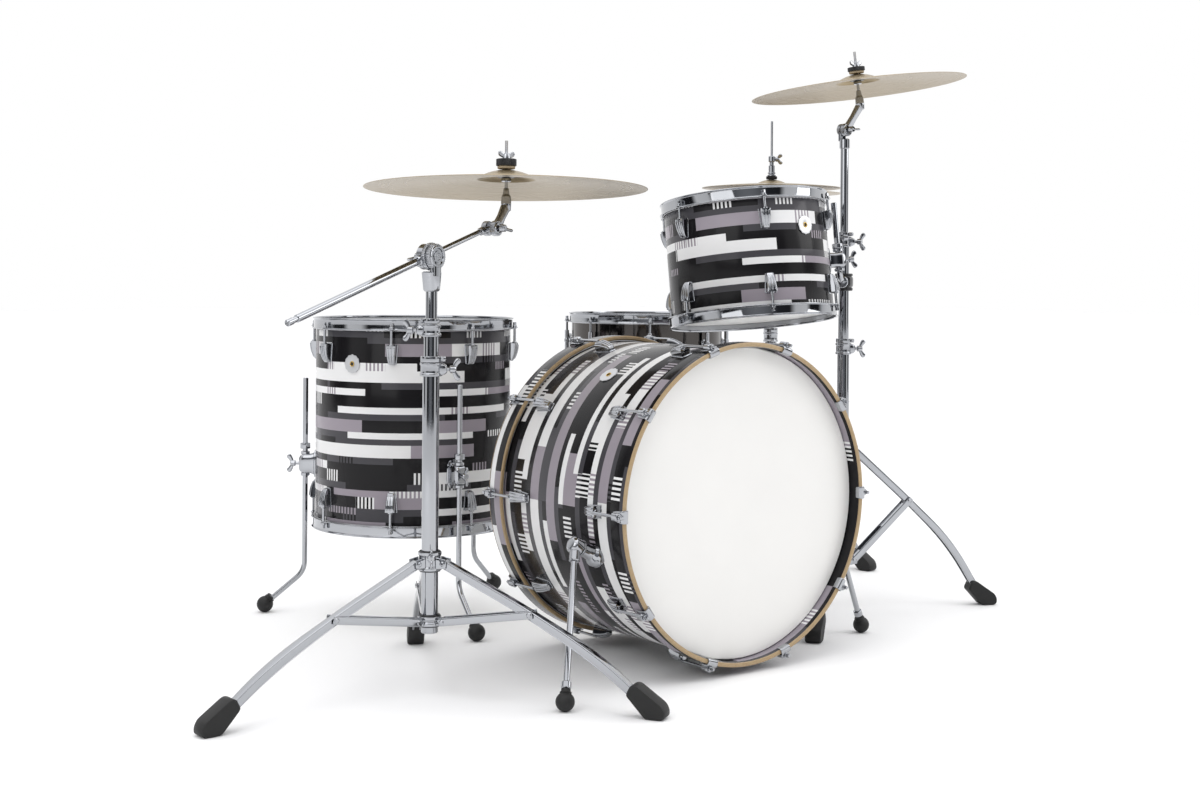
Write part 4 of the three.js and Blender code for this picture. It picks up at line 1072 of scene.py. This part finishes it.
def upright_cymbal(name, body, radius, rise, stand):
    """Adds one cymbal with its own copy of the bronze."""
    look = bronze(f"lathed_bronze_{name}", stand[:3, 3] * MM, euler_of(stand))
    piece(f"{name}_fine", [(placed(cymbal(radius, rise), stand), look)], body, name, slot="bronze")


def felt(inner, outer, low, high, look):
    """A pressed washer with soft edges."""
    soft = rounded([(inner, low), (outer, low), (outer, high), (inner, high)], 1.8)
    return lathe(soft, 48, True), look


def cymbal_nut(rise, above):
    """The upper felt under a ribbed nylon cup, and a wing nut with swept ears on top."""
    base, top = rise + 1.2, rise + 1.2 + above - 6
    ears = smooth_path([(-16, 0, top + 13), (-12, 0, top + 8), (-5, 0, top + 5), (0, 0, top + 4),
                        (5, 0, top + 5),
                        (12, 0, top + 8), (16, 0, top + 13)], 33)
    ear_depth = np.interp(np.abs(np.linspace(-1, 1, 33)), [0, 0.3, 0.75, 1], [9, 7, 10, 5])
    cup = rounded([(3.4, base + 5.2), (18, base + 5.2), (18, top), (3.4, top)], 1.2)
    ribs = (cup[:, 0] > 17.9) * 0.4, lambda turn: np.cos(36 * turn)
    hub = rounded([(3.4, top + 0.1), (8, top + 0.1), (6, top + 10), (3.4, top + 10)], 0.8)
    return [felt(3.6, 16, base, base + 5.1, WOOL_FELT), (lathe(cup, 288, True, ribs), NYLON),
            (loft(ears, 4, ear_depth, (0, 1, 0), 3, 20, 1), CHROME), (lathe(hub, 36, True), CHROME)]


def cymbal_rod(rise, bottom, above):
    """The threaded rod with the lower felt on its nylon cup."""
    low = rise - 1.6 - 2.3
    count = int((above + 6) / 1.25)
    ridges = np.arange(count * 2) % 2 * 0.35
    thread = np.stack([2.6 + ridges, rise - 4 + np.linspace(0, above + 4, count * 2)], 1)
    closed = np.vstack([[[0, thread[0, 1]]], thread, [[0, thread[-1, 1]]]])
    return [
        (rod((0, 0, bottom), (0, 0, rise), 3, 24, 0.5), CHROME), (lathe(closed, 24), CHROME),
        felt(3.4, 15, low - 8, low - 0.9, BLACK_FELT), felt(3.4, 15.5, low - 10.5, low - 8.1, NYLON),
        (rod((0, 0, low - 18), (0, 0, low - 10.6), 9, 32, 1.4), CHROME),
    ]


# %% [markdown]
# ## Stands
# Each stand is a set of chromed tubes that slide in one another, with three legs of pressed channel.
# A clamp collar with a wing bolt holds each tube, and a memory lock above it marks its height.

# %% Tubes, collars and locks


def tube(radius, inner, low, high, sides=56):
    """A drawn tube with slightly rounded ends."""
    return lathe(rounded([(inner, low), (radius, low), (radius, high), (inner, high)], 0.5), sides, True)


def clamp_collar(bore, outer, low, high, turn, span=34):
    """A cast collar with a raised rim at each end, a split boss and a wing bolt."""
    tall = high - low
    rims = rounded([(bore, low), (outer, low), (outer, low + 4), (outer - 1.4, low + 5.5),
                    (outer - 1.4, high - 5.5),
                    (outer, high - 4), (outer, high), (bore, high)], 1.0)
    boss = loft([(outer - 6, 0, (low + high) / 2), (outer + 3, 0, (low + high) / 2),
                 (outer + 8, 0, (low + high) / 2)],
                [16, 15, 12], [tall - 2, tall - 4, tall - 8], (0, 1, 0), 4, 32, 1.5)
    bolt = wing_bolt((outer + 6, 0, (low + high) / 2), (1, 0, 0), 11, span)
    return [(placed(shape, turned_about_z(turn)), CHROME) for shape in [lathe(rims, 56, True), boss] + bolt]


def memory_lock(radius, outer, low, high, turn=60):
    """A split ring with two lips drawn together by a key screw."""
    middle_height = (low + high) / 2
    shapes = [lathe(rounded([(radius, low), (outer, low), (outer, high), (radius, high)], 1.2), 48, True),
              loft([(outer - 3, 0, middle_height), (outer + 7, 0, middle_height)], 10, high - low - 1,
                   (0, 1, 0), 4, 24, 1.2),
              rod((outer + 2, -9, middle_height), (outer + 2, 8, middle_height), 3, 18, 0.6)]
    return [(placed(shape, turned_about_z(turn)), CHROME) for shape in shapes]


# %% Legs, feet and braces


def leg_line(top, knee, reach, count=30):
    """The leg's middle line: straight from the hub to the knee, then bowed down to the floor."""
    mid = (knee[0] + (reach - knee[0]) * 0.52, knee[1] * 0.6)
    line = [top, (top[0] * 0.5 + knee[0] * 0.5, top[1] * 0.5 + knee[1] * 0.5), knee, mid, (reach - 17, 22)]
    return smooth_path([(x, 0, z) for x, z in line], count)


def offset(path, gap):
    """Moves a path in XZ sideways, along its upward normal."""
    run = np.gradient(path, axis=0)
    run /= np.linalg.norm(run, axis=1, keepdims=True)
    upward = np.stack([-run[:, 2], np.zeros(len(path)), run[:, 0]], 1)
    return path + upward * np.reshape(gap, (-1, 1))


def channel_leg(top, knee, reach):
    """A pressed channel leg: a web on top and two side plates. Past the knee the channel grows
    wider by a half sine, up to 3 mm, and narrows again where it enters its rubber foot."""
    line = leg_line(top, knee, reach, 44)
    past = np.clip((line[:, 0] - knee[0] - 14) / (reach - 52 - knee[0]), 0, 1)
    flare = 3 * np.sin(np.pi * past)
    shapes = [loft(offset(line, 5.6 + flare * 0.12), 16 + flare, 2.4, (0, 1, 0), 3, 24, 0.5)]
    sideways = np.stack([0 * flare, 1 + 0 * flare, 0 * flare], 1)
    for side in (-1, 1):
        plate = offset(line, -0.8) + sideways * (side * (6.9 + flare / 2))[:, None]
        shapes.append(loft(plate, 2.2, 13.6 + flare * 0.3, (0, 1, 0), 4, 16, 0.5))
        lip = offset(line, -7 - flare * 0.1) + sideways * (side * (6.3 + flare / 2))[:, None]
        shapes.append(loft(lip, 4.2, 1.8, (0, 1, 0), 3, 14, 0.4))
    return [(shape, CHROME) for shape in shapes] + [rubber_foot(reach)]


def rubber_foot(reach):
    """A wedge foot with soft corners, flat on the floor."""
    outline = [(reach - 48, 36), (reach - 40, 52), (reach - 30, 54), (reach + 14, 24), (reach + 19, 14),
               (reach + 19, 5),
               (reach + 13, 0.2), (reach - 15, 0.2)]
    return slab(rounded(outline, 5), 31, (0, 0, 0), 2.5), RUBBER


def flat_brace(start, end, spread=9.6):
    """Two flat bars, one each side of the leg, with round ends, a web and domed rivets."""
    start, end = np.array([start[0], 0, start[1]]), np.array([end[0], 0, end[1]])
    way = (end - start) / np.linalg.norm(end - start)
    parts = []
    for side in (-1, 1):
        path = np.array([start - way * 6, start + (end - start) * 0.5, end + way * 6]) + (0,
            side * (spread + 1.2), 0)
        parts.append((loft(path, 2.2, 13, (0, 1, 0), 4, 20, 0.6), CHROME))
    for spot in (start, end):
        parts.append((rod(spot - (0, spread + 4, 0), spot + (0, spread + 4, 0), 4.4, 24, 1.4), CHROME))
    web = np.array([start + (end - start) * 0.16, start + (end - start) * 0.56])
    normal = np.array([-way[2], 0, way[0]])
    parts.append((loft(web - normal * 5.6, spread * 2 + 2, 1.8, (0, 1, 0), 6, 16, 0.5), CHROME))
    return parts


def hub_ears(pivot_at, turns, inner):
    """A pair of ears each side of every leg's end, with a rivet through them."""
    parts = []
    for turn in turns:
        shapes = [rod((pivot_at[0], -13, pivot_at[1]), (pivot_at[0], 13, pivot_at[1]), 4.2, 24, 1.4)]
        for side in (-1, 1):
            shapes.append(loft([(inner - 4, side * 10, pivot_at[1]),
                                (pivot_at[0] - 6, side * 10, pivot_at[1]),
                                (pivot_at[0] + 7, side * 10, pivot_at[1])], 2.6, [20, 19, 15], (0, 1, 0), 4,
                                20, 0.8))
        parts += [(placed(shape, turned_about_z(turn)), CHROME) for shape in shapes]
    return parts


def sliding_hub(bore, outer, low, high):
    """The cast ring that carries the legs' upper ends."""
    return [(lathe(rounded([(bore, low), (outer, low), (outer, low + 5), (outer - 1.6, low + 7),
                            (outer - 1.6, high - 7),
                            (outer, high - 5), (outer, high), (bore, high)], 1.0), 56, True), CHROME),
            (lathe(rounded([(bore, high - 0.5), (outer - 2, high - 0.5), (outer - 2, high + 2),
                            (bore, high + 2)], 0.6), 48, True),
             NYLON),
            (lathe(rounded([(bore, low - 2), (outer - 2, low - 2), (outer - 2, low + 0.5),
                            (bore, low + 0.5)], 0.6), 48, True),
             NYLON)]


def turned_parts(parts, degrees):
    """Turns (shape, material) pairs about Z."""
    return [(placed(shape, turned_about_z(degrees)), look) for shape, look in parts]


def whole_tripod(hub, knee, collar, reach, turns, radius, hub_outer):
    """The fixed tripod of a stand: three legs, three braces, the hub and the lower collar."""
    parts = sliding_hub(radius, hub_outer, hub[1] - 14, hub[1] + 16)
    parts += sliding_hub(radius, hub_outer, collar[1] - 8, collar[1] + 8)
    parts += hub_ears(hub, turns, hub_outer) + hub_ears(collar, turns, hub_outer)
    for turn in turns:
        parts += turned_parts(channel_leg(hub, knee, reach) + flat_brace(collar, knee), turn)
    return parts


# %% [markdown]
# ### The boom stand with the ride cymbal
# Its legs and braces are separate bodies, coupled to the hub that slides on the base tube. The top
# tube ends in an ear; a toothed clamp turns on the ear and lets the boom rod slide through it.

# %% Boom stand: base, hub, legs, tubes
BOOM_AT = PLAN + (-542.7, 4.6, 0)
BOOM_LEGS = round_the(3, 182)
boom_stand = moved(BOOM_AT)
HUB_PIVOT, COLLAR_PIVOT, KNEE, BOOM_REACH = (28, 225), (28, 127), (187, 151), 405

base_parts = [(tube(14.3, 13.1, 108, 552), CHROME), (rod((0, 0, 106), (0, 0, 109), 14.2, 40, 1), CHROME)]
base_parts += clamp_collar(13.1, 19, 540, 563, -40) + sliding_hub(13.4, 20, 119, 135)
for turn in BOOM_LEGS:
    tab = loft([(16, 0, 127), (27, 0, 127), (34, 0, 127)], [12, 11.6, 11], [13, 13, 11], (0, 1, 0), 3, 24, 1)
    base_parts.append((placed(tab, turned_about_z(turn)), CHROME))
piece("boom_stand_base_fine", on(boom_stand, base_parts), "kit", "boom_stand_base")

hub_parts = sliding_hub(14.7, 20, 212, 243) + hub_ears(HUB_PIVOT, BOOM_LEGS, 20)
hub_parts += [(placed(shape, turned_about_z(-118)), CHROME) for shape in wing_bolt((18, 0, 236), (1, 0, 0),
    12, 28)]
piece("boom_stand_hub_fine", on(boom_stand, hub_parts), "boom_stand_hub", "boom_stand_hub")
for number, turn in enumerate(BOOM_LEGS, 1):
    leg_parts = turned_parts(channel_leg(HUB_PIVOT, KNEE, BOOM_REACH), turn)
    piece(f"boom_stand_leg_{number}_fine", on(boom_stand, leg_parts), f"boom_leg_{number}",
          f"boom_stand_leg_{number}")
    brace_parts = turned_parts(flat_brace(COLLAR_PIVOT, KNEE), turn)
    piece(f"boom_stand_brace_{number}_fine", on(boom_stand, brace_parts), f"boom_brace_{number}",
          f"boom_stand_brace_{number}")
middle_parts = [(tube(12.7, 10.4, 380, 617), CHROME)] + clamp_collar(10.4, 17, 607, 628, 140)
middle_parts += memory_lock(12.7, 18, 563.6, 573.8, -40)
piece("boom_stand_middle_tube_fine", on(boom_stand, middle_parts), "boom_middle_tube",
      "boom_stand_middle_tube")

# %% Boom arm
boom_turn, boom_rise = math.radians(18.4), math.radians(17.8)
across = np.array([-math.sin(boom_turn), math.cos(boom_turn), 0])
along = np.array([math.cos(boom_turn) * math.cos(boom_rise), math.sin(boom_turn) * math.cos(boom_rise),
                  math.sin(boom_rise)])
boom_pivot = BOOM_AT + (0, 0, 742)


def toothed(radius, low, high, teeth=36):
    """A disc whose rim is a wave: the radius grows and shrinks with the cosine of the angle."""
    profile = rounded([(0, low), (radius, low), (radius, high), (0, high)], 0.8, False)
    return lathe(profile, teeth * 8, False, (profile[:, 0] / radius * 0.5, lambda turn: np.cos(teeth * turn)))


def dial(radius):
    """Raised concentric rings round a domed screw: height is a rounded step at each ring."""
    share = np.linspace(1, 0, 60)
    rings = 1.1 * np.clip(np.cos(share * np.pi * 5) * 3, -1, 1) + 1.3
    return lathe(np.stack([share * radius, np.where(share > 0.97, 0, rings + 1.2 * (share < 0.3))], 1), 64)


def boom_point(side, ahead=0.0):
    """A point beside the boom's hinge: millimetres across it and ahead along the boom."""
    return boom_pivot + across * side + along * ahead


facing = stood_at(boom_pivot, across)
socket = loft([(0, 0, 683), (0, 0, 687), (0, 0, 717)], [24, 25, 33], [24, 25, 27], (1, 0, 0), 3.2, 40, 2)
top_parts = on(boom_stand, [(tube(9.9, 8, 470, 700), CHROME), (placed(socket, turned_about_z(18.4)), CHROME)])
top_parts += on(boom_stand, memory_lock(9.9, 14, 628.6, 637.8, 140))
ear = loft([(0, -8.5, 708), (0, -8.5, 722), (0, -8.5, 738)], 22, 10.6, (1, 0, 0), 4, 28, 1.5)
top_parts.append((placed(ear, boom_stand, turned_about_z(18.4)), CHROME))
top_parts.append((placed(toothed(21.5, -12.4, -3.2), facing), CHROME))
top_parts.append((placed(dial(20), stood_at(boom_point(-12.4), -across)), CHROME))
piece("boom_stand_top_tube_fine", top_parts, "boom_top_tube", "boom_stand_top_tube")

clamp_bits = [(placed(toothed(23.4, -2.6, 4), facing), CHROME),
              (rod(boom_point(4), boom_point(19.5), 22, 56, 3), CHROME)]
clamp_bits += [(rod(boom_point(9, -29), boom_point(9, 29), 9.5, 40, 2), CHROME)]
clamp_bits += [(shape, CHROME) for shape in wing_bolt(boom_point(19), across, 9, 34)]
piece("boom_clamp_fine", clamp_bits, "boom_clamp", "boom_clamp")
boom_parts = [
    (rod(boom_point(9, -350), boom_point(9, 172), 4.75, 28), CHROME),
    (rod(boom_point(9, -328), boom_point(9, -32), 6.35, 28), CHROME),
    (rod(boom_point(9, -350), boom_point(9, -336), 5.6, 28, 1.6), CHROME),
    (placed(toothed(12.6, 4, 14), stood_at(boom_point(0, 172), across)), CHROME),
    (rod(boom_point(9, 150), boom_point(9, 172), 7, 28, 1.4), CHROME),
]
piece("boom_rod_fine", boom_parts, "boom", "boom_rod")

# %% The ride cymbal and its tilter
RIDE = {"radius": 10 * INCH, "rise": 34}
AWAY = np.array([0.6089, 0.7932, 0])  # level direction from the front left corner to the far right
LATERAL = np.array([0.7932, -0.6089, 0])


def tilted(away, lateral):
    """Straight up, tipped by degrees along the two level directions."""
    sideways = LATERAL * math.tan(math.radians(lateral))
    return np.array([0, 0, 1]) + AWAY * math.tan(math.radians(away)) + sideways


def tilter(stand, socket, side, rise, bottom, above):
    """The toothed plate on the arm, a cast elbow up to a fluted socket, and the cymbal's rod."""
    start, low = socket + side * 11, kit_point(stand, (0, 0, bottom - 2))
    elbow = np.array([start, start * 0.5 + low * 0.5, low])
    sockets = [(4.5, bottom - 12), (8.6, bottom - 10), (9.4, bottom + 2), (8.4, bottom + 16),
               (6.2, bottom + 19),
               (5, bottom + 30), (3, bottom + 31)]
    parts = [(placed(toothed(13.2, 5.4, 16), stood_at(socket, side)), CHROME),
             (placed(dial(11.5), stood_at(socket + side * 16, side)), CHROME)]
    parts += [(loft(elbow, [19, 15, 17], [12, 12, 15], np.cross(side, (0, 0, 1)), 3.5, 28, 2.5), CHROME)]
    parts += [(placed(lathe(rounded([(0, bottom - 12)] + sockets + [(0, bottom + 31)], 1.2, False), 40),
                      stand), CHROME)]
    parts += on(stand, cymbal_rod(rise, bottom, above))
    parts += [(shape, CHROME) for shape in wing_bolt(socket + side * 16, side, 9, 28)]
    return parts


ride_stand = stood_at(PLAN + (-350, 65, 867), tilted(2.2, 0))
piece("ride_tilter_fine", tilter(ride_stand, boom_point(0, 172), -across, 34, -30, 52), "ride_tilter",
      "ride_tilter")
upright_cymbal("ride_cymbal", "ride_cymbal", RIDE["radius"], RIDE["rise"], ride_stand)
piece("ride_nut_fine", on(ride_stand, cymbal_nut(34, 24)), "ride_nut", "ride_nut", slot="black_plastic")

# %% [markdown]
# ### The straight stand with the crash cymbal
# A taller stand with its legs fixed open, whose middle tube also carries the rack tom's clamp.

# %% Straight stand
straight = moved(STRAIGHT_AT)
tripod_parts = whole_tripod((24, 345), (150, 232), (24, 107), 335, round_the(3, -25), 12.7, 17)
tripod_parts += [(tube(12.7, 11.6, 95, 560), CHROME), (rod((0, 0, 88), (0, 0, 97), 13, 40, 2), RUBBER)]
tripod_parts += clamp_collar(11.6, 17, 548, 572, -30)
piece("straight_stand_tripod_fine", on(straight, tripod_parts), "kit", "straight_stand_tripod")
mid_parts = [(tube(11.1, 9.2, 360, 790), CHROME)] + clamp_collar(9.2, 15.5, 778, 800, -60)
mid_parts += memory_lock(11.1, 16, 572.6, 581.8, -30)
piece("straight_stand_middle_tube_fine", on(straight, mid_parts), "straight_middle_tube",
      "straight_stand_middle_tube")
head_parts_list = [(tube(8.7, 7, 600, 1000), CHROME), (rod((0, 0, 988), (0, 0, 1010), 11, 40, 2), CHROME)]
head_parts_list += [(loft([(0, 7.5, 1004), (0, 7.5, 1016), (0, 7.5, 1029)], 18, 9, (1, 0, 0), 4, 28, 1.5),
                     CHROME)]
head_parts_list += [(placed(toothed(12.8, 3.2, 12), stood_at((0, 0, 1029), (0, 1, 0))), CHROME)]
head_parts_list += memory_lock(8.7, 13, 800.6, 809.8, -60)
piece("straight_stand_top_tube_fine", on(straight, head_parts_list), "straight_top_tube",
      "straight_stand_top_tube")

# %% Crash cymbal and its tilter
crash_stand = stood_at(PLAN + (579, 90, 1117), tilted(0, -6.4))
crash_socket = STRAIGHT_AT + (0, 6, 1029)
piece("crash_tilter_fine", tilter(crash_stand, crash_socket, np.array([0.0, -1.0, 0.0]), 32, -34, 48),
      "crash_tilter",
      "crash_tilter")
upright_cymbal("crash_cymbal", "crash_cymbal", 9 * INCH, 32, crash_stand)
piece("crash_nut_fine", on(crash_stand, cymbal_nut(32, 20)), "crash_nut", "crash_nut", slot="black_plastic")

# %% [markdown]
# ### The hi-hat
# Two 14 inch cymbals edge to edge: the lower one lies bell down on a seat and the upper one hangs
# from a clutch on a rod, which the footboard pulls down.

# %% Hi-hat stand
HAT_AT = PLAN + (905.5, 701.2, 0)
hat_stand = moved(HAT_AT)
PEDAL_TURN = 100
HAT_RISE = 22
SEAT = 941 - HAT_RISE - 15
hat_parts = whole_tripod((24, 300), (130, 200), (24, 130), 295, round_the(3, -80), 14.3, 19)
hat_parts += [(tube(14.3, 13.1, 110, 560), CHROME)] + clamp_collar(13.1, 19, 548, 572, 30)
frame_parts = []
for side in (-1, 1):
    frame_parts += [
        (loft([(0, side * 17, 4), (0, side * 17, 60), (0, side * 17, 116)], 12, 4, (1, 0, 0), 4, 20, 0.8),
         CHROME),
        (rod((0, side * 16, 116), (0, side * 9, 121), 5, 20, 1), CHROME),
        (rod((0, side * 17, 5), (275, side * 17, 5), 2.8, 20, 0.6), CHROME),
        (box((16, 5, 22), (275, side * 36, 13), 0, 1.2), CHROME),
    ]
frame_parts += [(slab(rounded([(245, 0.2), (327, 0.2), (327, 6), (245, 6)], 1.5), 76, (0, 0, 0), 1.0),
                 CHROME)]
piece("hi_hat_tripod_fine", on(hat_stand, hat_parts + turned_parts(frame_parts, PEDAL_TURN)), "kit",
      "hi_hat_tripod")
tube_parts = [(tube(12.7, 9, 380, SEAT - 8), CHROME)] + memory_lock(12.7, 18, 572.6, 583.8, 30)
tube_parts += [(lathe(rounded([(6, SEAT - 12), (13, SEAT - 12), (17, SEAT - 8), (17, SEAT - 6),
                               (6, SEAT - 6)], 1), 48, True),
                NYLON), felt(6, 15, SEAT - 6, SEAT - 0.4, BLACK_FELT)]
tube_parts += [(placed(shape, turned_about_z(200)), CHROME) for shape in wing_bolt((14, 0, SEAT - 10),
    (1, 0, 0), 6, 16)]
piece("hi_hat_tube_fine", on(hat_stand, tube_parts), "hi_hat_tube", "hi_hat_tube")

# %% Hi-hat cymbals and clutch
low_hat = hat_stand @ moved((0, 0, SEAT + HAT_RISE + 0.4)) @ np.diag([1.0, -1.0, -1.0, 1.0])
high_hat = hat_stand @ moved((0, 0, 941))
upright_cymbal("hi_hat_bottom_cymbal", "hi_hat_tube", 7 * INCH, HAT_RISE, low_hat)
upright_cymbal("hi_hat_top_cymbal", "hi_hat_rod", 7 * INCH, HAT_RISE, high_hat)
bell = 941 + HAT_RISE
clutch = [
    (rod((0, 0, 98), (0, 0, 1112), 3, 24, 0.8), CHROME), felt(3.2, 14, bell + 0.3, bell + 8, BLACK_FELT),
    (rod((0, 0, bell + 8.1), (0, 0, bell + 12), 11, 36, 1), CHROME),
    (rod((0, 0, bell + 12), (0, 0, bell + 36), 8, 36, 1.4), CHROME),
    (rod((0, 0, bell + 14), (0, 0, bell + 18), 10, 36, 1), CHROME),
    (rod((0, 0, bell - 12), (0, 0, bell - 8), 9, 36, 1), CHROME),
    felt(3.2, 12.5, bell - 8, bell - 2, BLACK_FELT),
    (rod((0, 0, bell + 36), (0, 0, bell + 44), 5.5, 36, 1), CHROME),
    (rod((0, 0, bell + 44), (0, 0, bell + 60), 8.5, 36, 2), CHROME),
] + [(shape, CHROME) for shape in wing_bolt((7, 0, bell + 52), (0.7, -0.7, 0), 8, 30)]
piece("hi_hat_rod_fine", on(hat_stand, clutch), "hi_hat_rod", "hi_hat_rod")

# %% The footboard


def footboard():
    """A cast board that rises from its heel, with raised ribs, a heel pin and a tongue to the rod."""
    heel, toe, width = 275, 45, 64
    line = np.array([(heel, 0, 17.5), ((heel + toe) / 2, 0, 52.8), (toe, 0, 87.6)])
    shapes = [loft(line, [width - 6, width, width - 10], 6.4, (0, 1, 0), 7, 36, 1.4)]
    way = (line[2] - line[0]) / np.linalg.norm(line[2] - line[0])
    lift = np.array([way[2], 0, -way[0]])
    for place in np.linspace(-24, 24, 7):
        rib = np.array([line[0] + way * 26, line[2] - way * 14]) + lift * 3.6 + (0, place, 0)
        shapes.append(loft(rib, 3.2, 2.4, (0, 1, 0), 2.6, 12, 0.8))
    shapes.append(rod((heel, -33, 16), (heel, 33, 16), 5.5, 28, 1))
    shapes.append(loft([(toe + 8, 0, 86.5), (toe - 14, 0, 89.5), (-5, 0, 91)], [30, 22, 18], 5, (0, 1, 0),
                       5, 24, 1))
    return [(shape, CHROME) for shape in shapes]


piece("hi_hat_pedal_fine", on(hat_stand, turned_parts(footboard(), PEDAL_TURN)), "hi_hat_pedal",
      "hi_hat_pedal")

# %% [markdown]
# ### The snare stand
# A low tripod whose tube ends in a tilting basket: three arms with rubber-covered hooks.

# %% Snare stand and basket
SNARE_AT = np.array([snare_centre[0], snare_centre[1], 0])
snare_stand = moved(SNARE_AT)
stand_parts = whole_tripod((24, 250), (115, 160), (24, 95), 250, round_the(3, 90), 12.7, 17)
stand_parts += [(tube(12.7, 11.6, 85, 330), CHROME)] + clamp_collar(11.6, 17, 318, 340, 20)
piece("snare_stand_tripod_fine", on(snare_stand, stand_parts), "kit", "snare_stand_tripod")
post = [(tube(11.1, 9, 150, 372), CHROME)] + memory_lock(11.1, 16, 340.6, 349.8, 20)
post += [(rod((0, 0, 364), (0, 0, 377), 11.2, 36, 1.5), CHROME)]
post += [(loft([(0, -8, 370), (0, -8, 382), (0, -8, 395)], 20, 7.6, (1, 0, 0), 3, 28, 1.4), CHROME)]
post += [(rod((0, -12, 390), (0, 6, 390), 5, 24, 1), CHROME)]
piece("snare_stand_tube_fine", on(snare_stand, post), "snare_tube", "snare_stand_tube")


def basket():
    """Three arms that run out under the drum and up to its rim, with rubber sleeves."""
    rim = snare_centre[2] - SNARE["depth"] / 2 - 14
    reach = SNARE["radius"] + 4
    parts = [(rod((0, 0, 402), (0, 0, 420), 21.6, 48, 2.5), CHROME),
             (loft([(0, 1, 380), (0, 1, 392), (0, 1, 405)], 19, 7.6, (1, 0, 0), 3, 28, 1.4), CHROME)]
    for turn in round_the(3, 150):
        arm = smooth_path([(10, 0, 412), (reach * 0.6, 0, 412), (reach + 6, 0, 412), (reach + 13, 0, 414),
                           (reach + 13.5, 0, 422), (reach + 13.5, 0, rim + 2)], 36)
        hook = smooth_path([(reach + 14, 0, rim - 14), (reach + 14, 0, rim + 5), (reach + 12, 0, rim + 6)],
                           12)
        lip = loft([(reach - 3, 0, rim - 5), (reach + 5, 0, rim - 5), (reach + 14, 0, rim - 5)], 14, 5.6,
                   (0, 1, 0), 3, 20, 1.6)
        limb = [(loft(arm, 11.4, 6.4, (0, 1, 0), 4, 24, 1), CHROME),
                (loft(hook, 14, 6.4, (0, 1, 0), 3, 24, 1.4), RUBBER),
                (lip, RUBBER)]
        parts += turned_parts(limb, turn)
    return parts


piece("snare_basket_fine", on(snare_stand, basket()), "snare_drum", "snare_basket")

# %% [markdown]
# ## The studio
# A broad pale floor and three large area lights: overhead, left and right. The world is white overhead,
# and near the horizon it has soft dark stretches, which give the chrome its contrast.

# %% Floor, world and lights


def add_floor():
    """A wide flat square just below the feet."""
    mesh = bpy.data.meshes.new("studio_floor")
    corners = [(-30, -30, 0), (30, -30, 0), (30, 30, 0), (-30, 30, 0)]
    mesh.from_pydata(corners, [], [(0, 1, 2, 3)])
    made, tree, shader = surface_material("matt_studio_floor", Roughness=0.9, Base_Color=colour("#f4f4f4"))
    mesh.materials.append(made)
    floor = bpy.data.objects.new("studio_floor", mesh)
    bpy.context.scene.collection.objects.link(floor)
    return floor


def add_light(name, place, size, power):
    data = bpy.data.lights.new(name, "AREA")
    data.size = size
    data.energy = power
    light = bpy.data.objects.new(name, data)
    light.location = place
    aim = Vector((0, 0, 0.5)) - Vector(place)
    light.rotation_euler = aim.to_track_quat("-Z", "Y").to_euler()
    bpy.context.scene.collection.objects.link(light)
    return light


def add_world():
    """A white world with soft dark stretches, like black cards beside a set, at the sides of and
    behind the camera. Near the horizon, brightness follows the cosine of the direction's angle to the
    camera's. Higher up it blends smoothly into a bright overhead white."""
    world = bpy.data.worlds.new("studio")
    world.use_nodes = True
    tree = world.node_tree
    point = tree.nodes.new("ShaderNodeTexCoord").outputs["Generated"]
    split = add(tree, "ShaderNodeSeparateXYZ", {}, {0: point})
    level = add(tree, "ShaderNodeCombineXYZ", {}, {0: split.outputs[0], 1: split.outputs[1]}).outputs[0]
    level = add(tree, "ShaderNodeVectorMath", {"operation": "NORMALIZE"}, {0: level}).outputs[0]
    ahead = add(tree, "ShaderNodeVectorMath", {"operation": "DOT_PRODUCT"},
                {0: level, 1: (*AWAY,)}).outputs["Value"]
    ramp = add(tree, "ShaderNodeValToRGB", {},
               {"Fac": spread(tree, maths(tree, "ADD", maths(tree, "MULTIPLY", ahead, 0.5), 0.5), 0, 1)})
    stops = [(0.0, "#8a8c90"), (0.06, "#303236"), (0.16, "#2a2b2e"), (0.22, "#f4f4f4"), (0.36, "#ffffff"),
             (0.42, "#1e1f22"), (0.56, "#26272a"), (0.64, "#e8e9ea"), (0.72, "#ffffff"), (1.0, "#ffffff")]
    for number, (position, value) in enumerate(stops):
        elements = ramp.color_ramp.elements
        stop = elements[number] if number < 2 else elements.new(position)
        stop.position = position
        stop.color = colour(value)
    overhead = add(tree, "ShaderNodeMapRange", {"interpolation_type": "SMOOTHSTEP"}, {
        "Value": split.outputs[2], "From Min": 0.35, "From Max": 0.7}).outputs["Result"]
    sky = add(tree, "ShaderNodeMix", {"data_type": "RGBA"}, {
        "Factor": overhead, "A": ramp.outputs["Color"], "B": (1.35, 1.35, 1.37, 1)}).outputs["Result"]
    tree.links.new(sky, tree.nodes["Background"].inputs["Color"])
    tree.nodes["Background"].inputs["Strength"].default_value = 1.0
    bpy.context.scene.world = world


add_world()
add_floor()
add_light("overhead_softbox", (-0.5, -0.5, 4.5), 3.5, 40)
add_light("left_softbox", (-4.0, -1.5, 2.2), 2.5, 35)
add_light("right_softbox", (3.5, -3.0, 2.5), 2.0, 40)
bpy.context.scene.view_settings.view_transform = "Standard"
